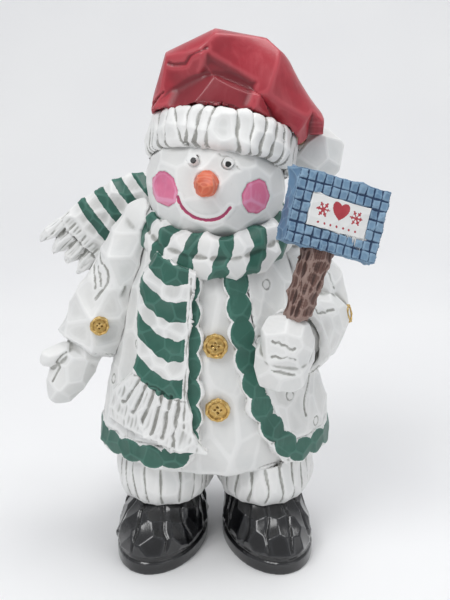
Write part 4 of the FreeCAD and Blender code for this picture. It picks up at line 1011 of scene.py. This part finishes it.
def motif(x, z):
    """A heart between two snowflakes, above a row of dots."""
    hx, hz = (x - 0.3) / 5.6, (z - 1.4) / 5.6
    heart = (hx**2 + hz**2 - 0.5) ** 3 - 1.6 * hx**2 * hz**3
    shape = np.where(heart < 0.0, 0.4, -0.4)
    for cx in (-9.6, 9.9):
        dx, dz = x - cx, z - 1.2
        reach, angle = np.hypot(dx, dz), np.arctan2(dz, dx)
        arm = np.abs(np.mod(angle / (math.pi / 3.0) + 0.5, 1.0) - 0.5) * (math.pi / 3.0) * reach
        flake = np.minimum(0.42 - arm, 4.0 - reach)
        flake = np.maximum(flake, np.minimum(0.34 - np.abs(reach - 2.6), 1.0 - arm))
        shape = np.maximum(shape, flake)
    for cx in np.linspace(-11.0, 11.0, 7):
        shape = np.maximum(shape, 0.62 - np.hypot(x - cx, z + 5.6))
    return shape


plaque = Skin("sign_plaque_painted", ["sign_plaque"], 0.28, 1)
plaque.carve(6.0, 30.0, 0.02, 0.12, 85)
local = (plaque.P - BOARD_CENTRE) @ BOARD_TURN
face_side = (plaque.N @ BOARD_TURN)[:, 1] < -0.5
drawn = np.where(face_side, motif(local[:, 0], local[:, 2]), -1.0)
plaque.finish(PLAQUE_PAINT, {"motif": drawn})

POST_WAY = unit((17.5, 13.5, 56.0))
post = Skin("sign_post_bark", ["sign_post"], 0.5, 1)
post.push(0.36 * wave(post.P, POST_WAY, 46.0, 5.0, 91) + 0.16 * wave(post.P, POST_WAY, 22.0, 2.0, 92))
# the stretch inside the fist is drawn back, so that the fingers close over it
held = smoothstep(-post.P[:, 2], -159.0, -153.0)
post.P[:, 1] += 7.0 * held
post.renew()
post.carve(6.0, 9.0, 0.07, 0.5, 93)
post.finish(BARK_PAINT)

for name in ("front_button_upper", "front_button_lower", "sleeve_button_left", "sleeve_button_right"):
    skin = Skin(f"{name}_worn", [name], 0.25, 1)
    skin.carve(2.6, 5.0, 0.06, 0.14, 95)
    skin.finish(BUTTON_BRASS)


def birch_paint():
    p = Paint("birch_wood")
    rings = p.noise(90.0, 6.0, 0.6, stretch=(1.0, 1.0, 0.12), distortion=0.8)
    pores = p.noise(700.0, 3.0, 0.6, stretch=(1.0, 1.0, 0.10))
    colour = p.mix(p.ramp(rings, 0.35, 0.68), BIRCH, BIRCH_LIGHT)
    colour = p.mix(p.ramp(pores, 0.58, 0.72, 0.0, 0.6), colour, BIRCH_DEEP)
    p.bump((rings, 0.3, 0.2), (pores, 0.3, 0.1))
    return p.done(colour, p.ramp(rings, 0.3, 0.7, 0.5, 0.68), 0.4)


BIRCH_WOOD = birch_paint()
for node in NODES.values():
    if not node.hide_render:
        node.data.materials.clear()
        node.data.materials.append(BIRCH_WOOD)

# ------------------------------------------------------------------------------------------
# Floor, light and camera
# ------------------------------------------------------------------------------------------


def stage_material():
    p = Paint("floor_paper")
    soft = p.noise(3.0, 2.0)
    return p.done(p.mix(p.ramp(soft, 0.3, 0.7, 0.0, 1.0), (0.86, 0.86, 0.87), (0.90, 0.90, 0.90)), 0.9, 0.1)


def sweep():
    """A floor that curves up into a backdrop."""
    profile = [(-1.6, 0.0), (0.6, 0.0)]
    rise = np.linspace(0.1, math.pi / 2, 14)
    profile += [(0.6 + 0.7 * math.sin(a), 0.7 - 0.7 * math.cos(a)) for a in rise]
    profile += [(1.3, 2.6)]
    verts, faces = [], []
    for y, z in profile:
        verts += [(-2.6, y, z), (2.6, y, z)]
    for i in range(len(profile) - 1):
        faces.append((2 * i, 2 * i + 1, 2 * i + 3, 2 * i + 2))
    mesh = bpy.data.meshes.new("floor")
    mesh.from_pydata(verts, [], faces)
    mesh.polygons.foreach_set("use_smooth", [True] * len(faces))
    obj = bpy.data.objects.new("floor", mesh)
    bpy.context.scene.collection.objects.link(obj)
    mesh.materials.append(stage_material())


def area_light(name, place, target, size, power, colour=(1.0, 1.0, 1.0)):
    data = bpy.data.lights.new(name, "AREA")
    data.shape, data.size, data.energy, data.color = "DISK", size, power, colour
    obj = bpy.data.objects.new(name, data)
    obj.location = place
    obj.rotation_euler = (Vector(target) - Vector(place)).to_track_quat("-Z", "Y").to_euler()
    bpy.context.scene.collection.objects.link(obj)


sweep()
area_light("key", (-0.55, -0.75, 1.35), (0.0, 0.0, 0.15), 0.8, 9.0)
area_light("top", (0.35, 0.15, 1.5), (0.0, 0.0, 0.1), 0.9, 8.5)
area_light("fill", (1.1, -0.9, 0.6), (0.0, 0.0, 0.15), 1.0, 1.6)

WORLD_STRENGTH = 0.46
world = bpy.data.worlds.new("studio")
world.use_nodes = True
world.node_tree.nodes["Background"].inputs[0].default_value = (0.95, 0.97, 1.0, 1.0)
world.node_tree.nodes["Background"].inputs[1].default_value = WORLD_STRENGTH
bpy.context.scene.world = world
bpy.context.scene.view_settings.view_transform = "Standard"

IMAGE_HEIGHT = 600.0
FOCAL = 1083.0  # in the same unit as IMAGE_HEIGHT
SENSOR = 24.0
CAMERA_PLACE = (6.0, -600.0, 345.0)
CAMERA_PITCH = math.radians(18.5)
camera_data = bpy.data.cameras.new("camera")
camera_data.sensor_fit = "VERTICAL"
camera_data.sensor_height = SENSOR
camera_data.lens = FOCAL / IMAGE_HEIGHT * SENSOR
camera_data.clip_start = 0.01
camera = bpy.data.objects.new("camera", camera_data)
camera.location = to_row(CAMERA_PLACE)
camera.rotation_euler = (math.pi / 2 - CAMERA_PITCH, 0.0, 0.0)
bpy.context.scene.collection.objects.link(camera)
bpy.context.scene.camera = camera
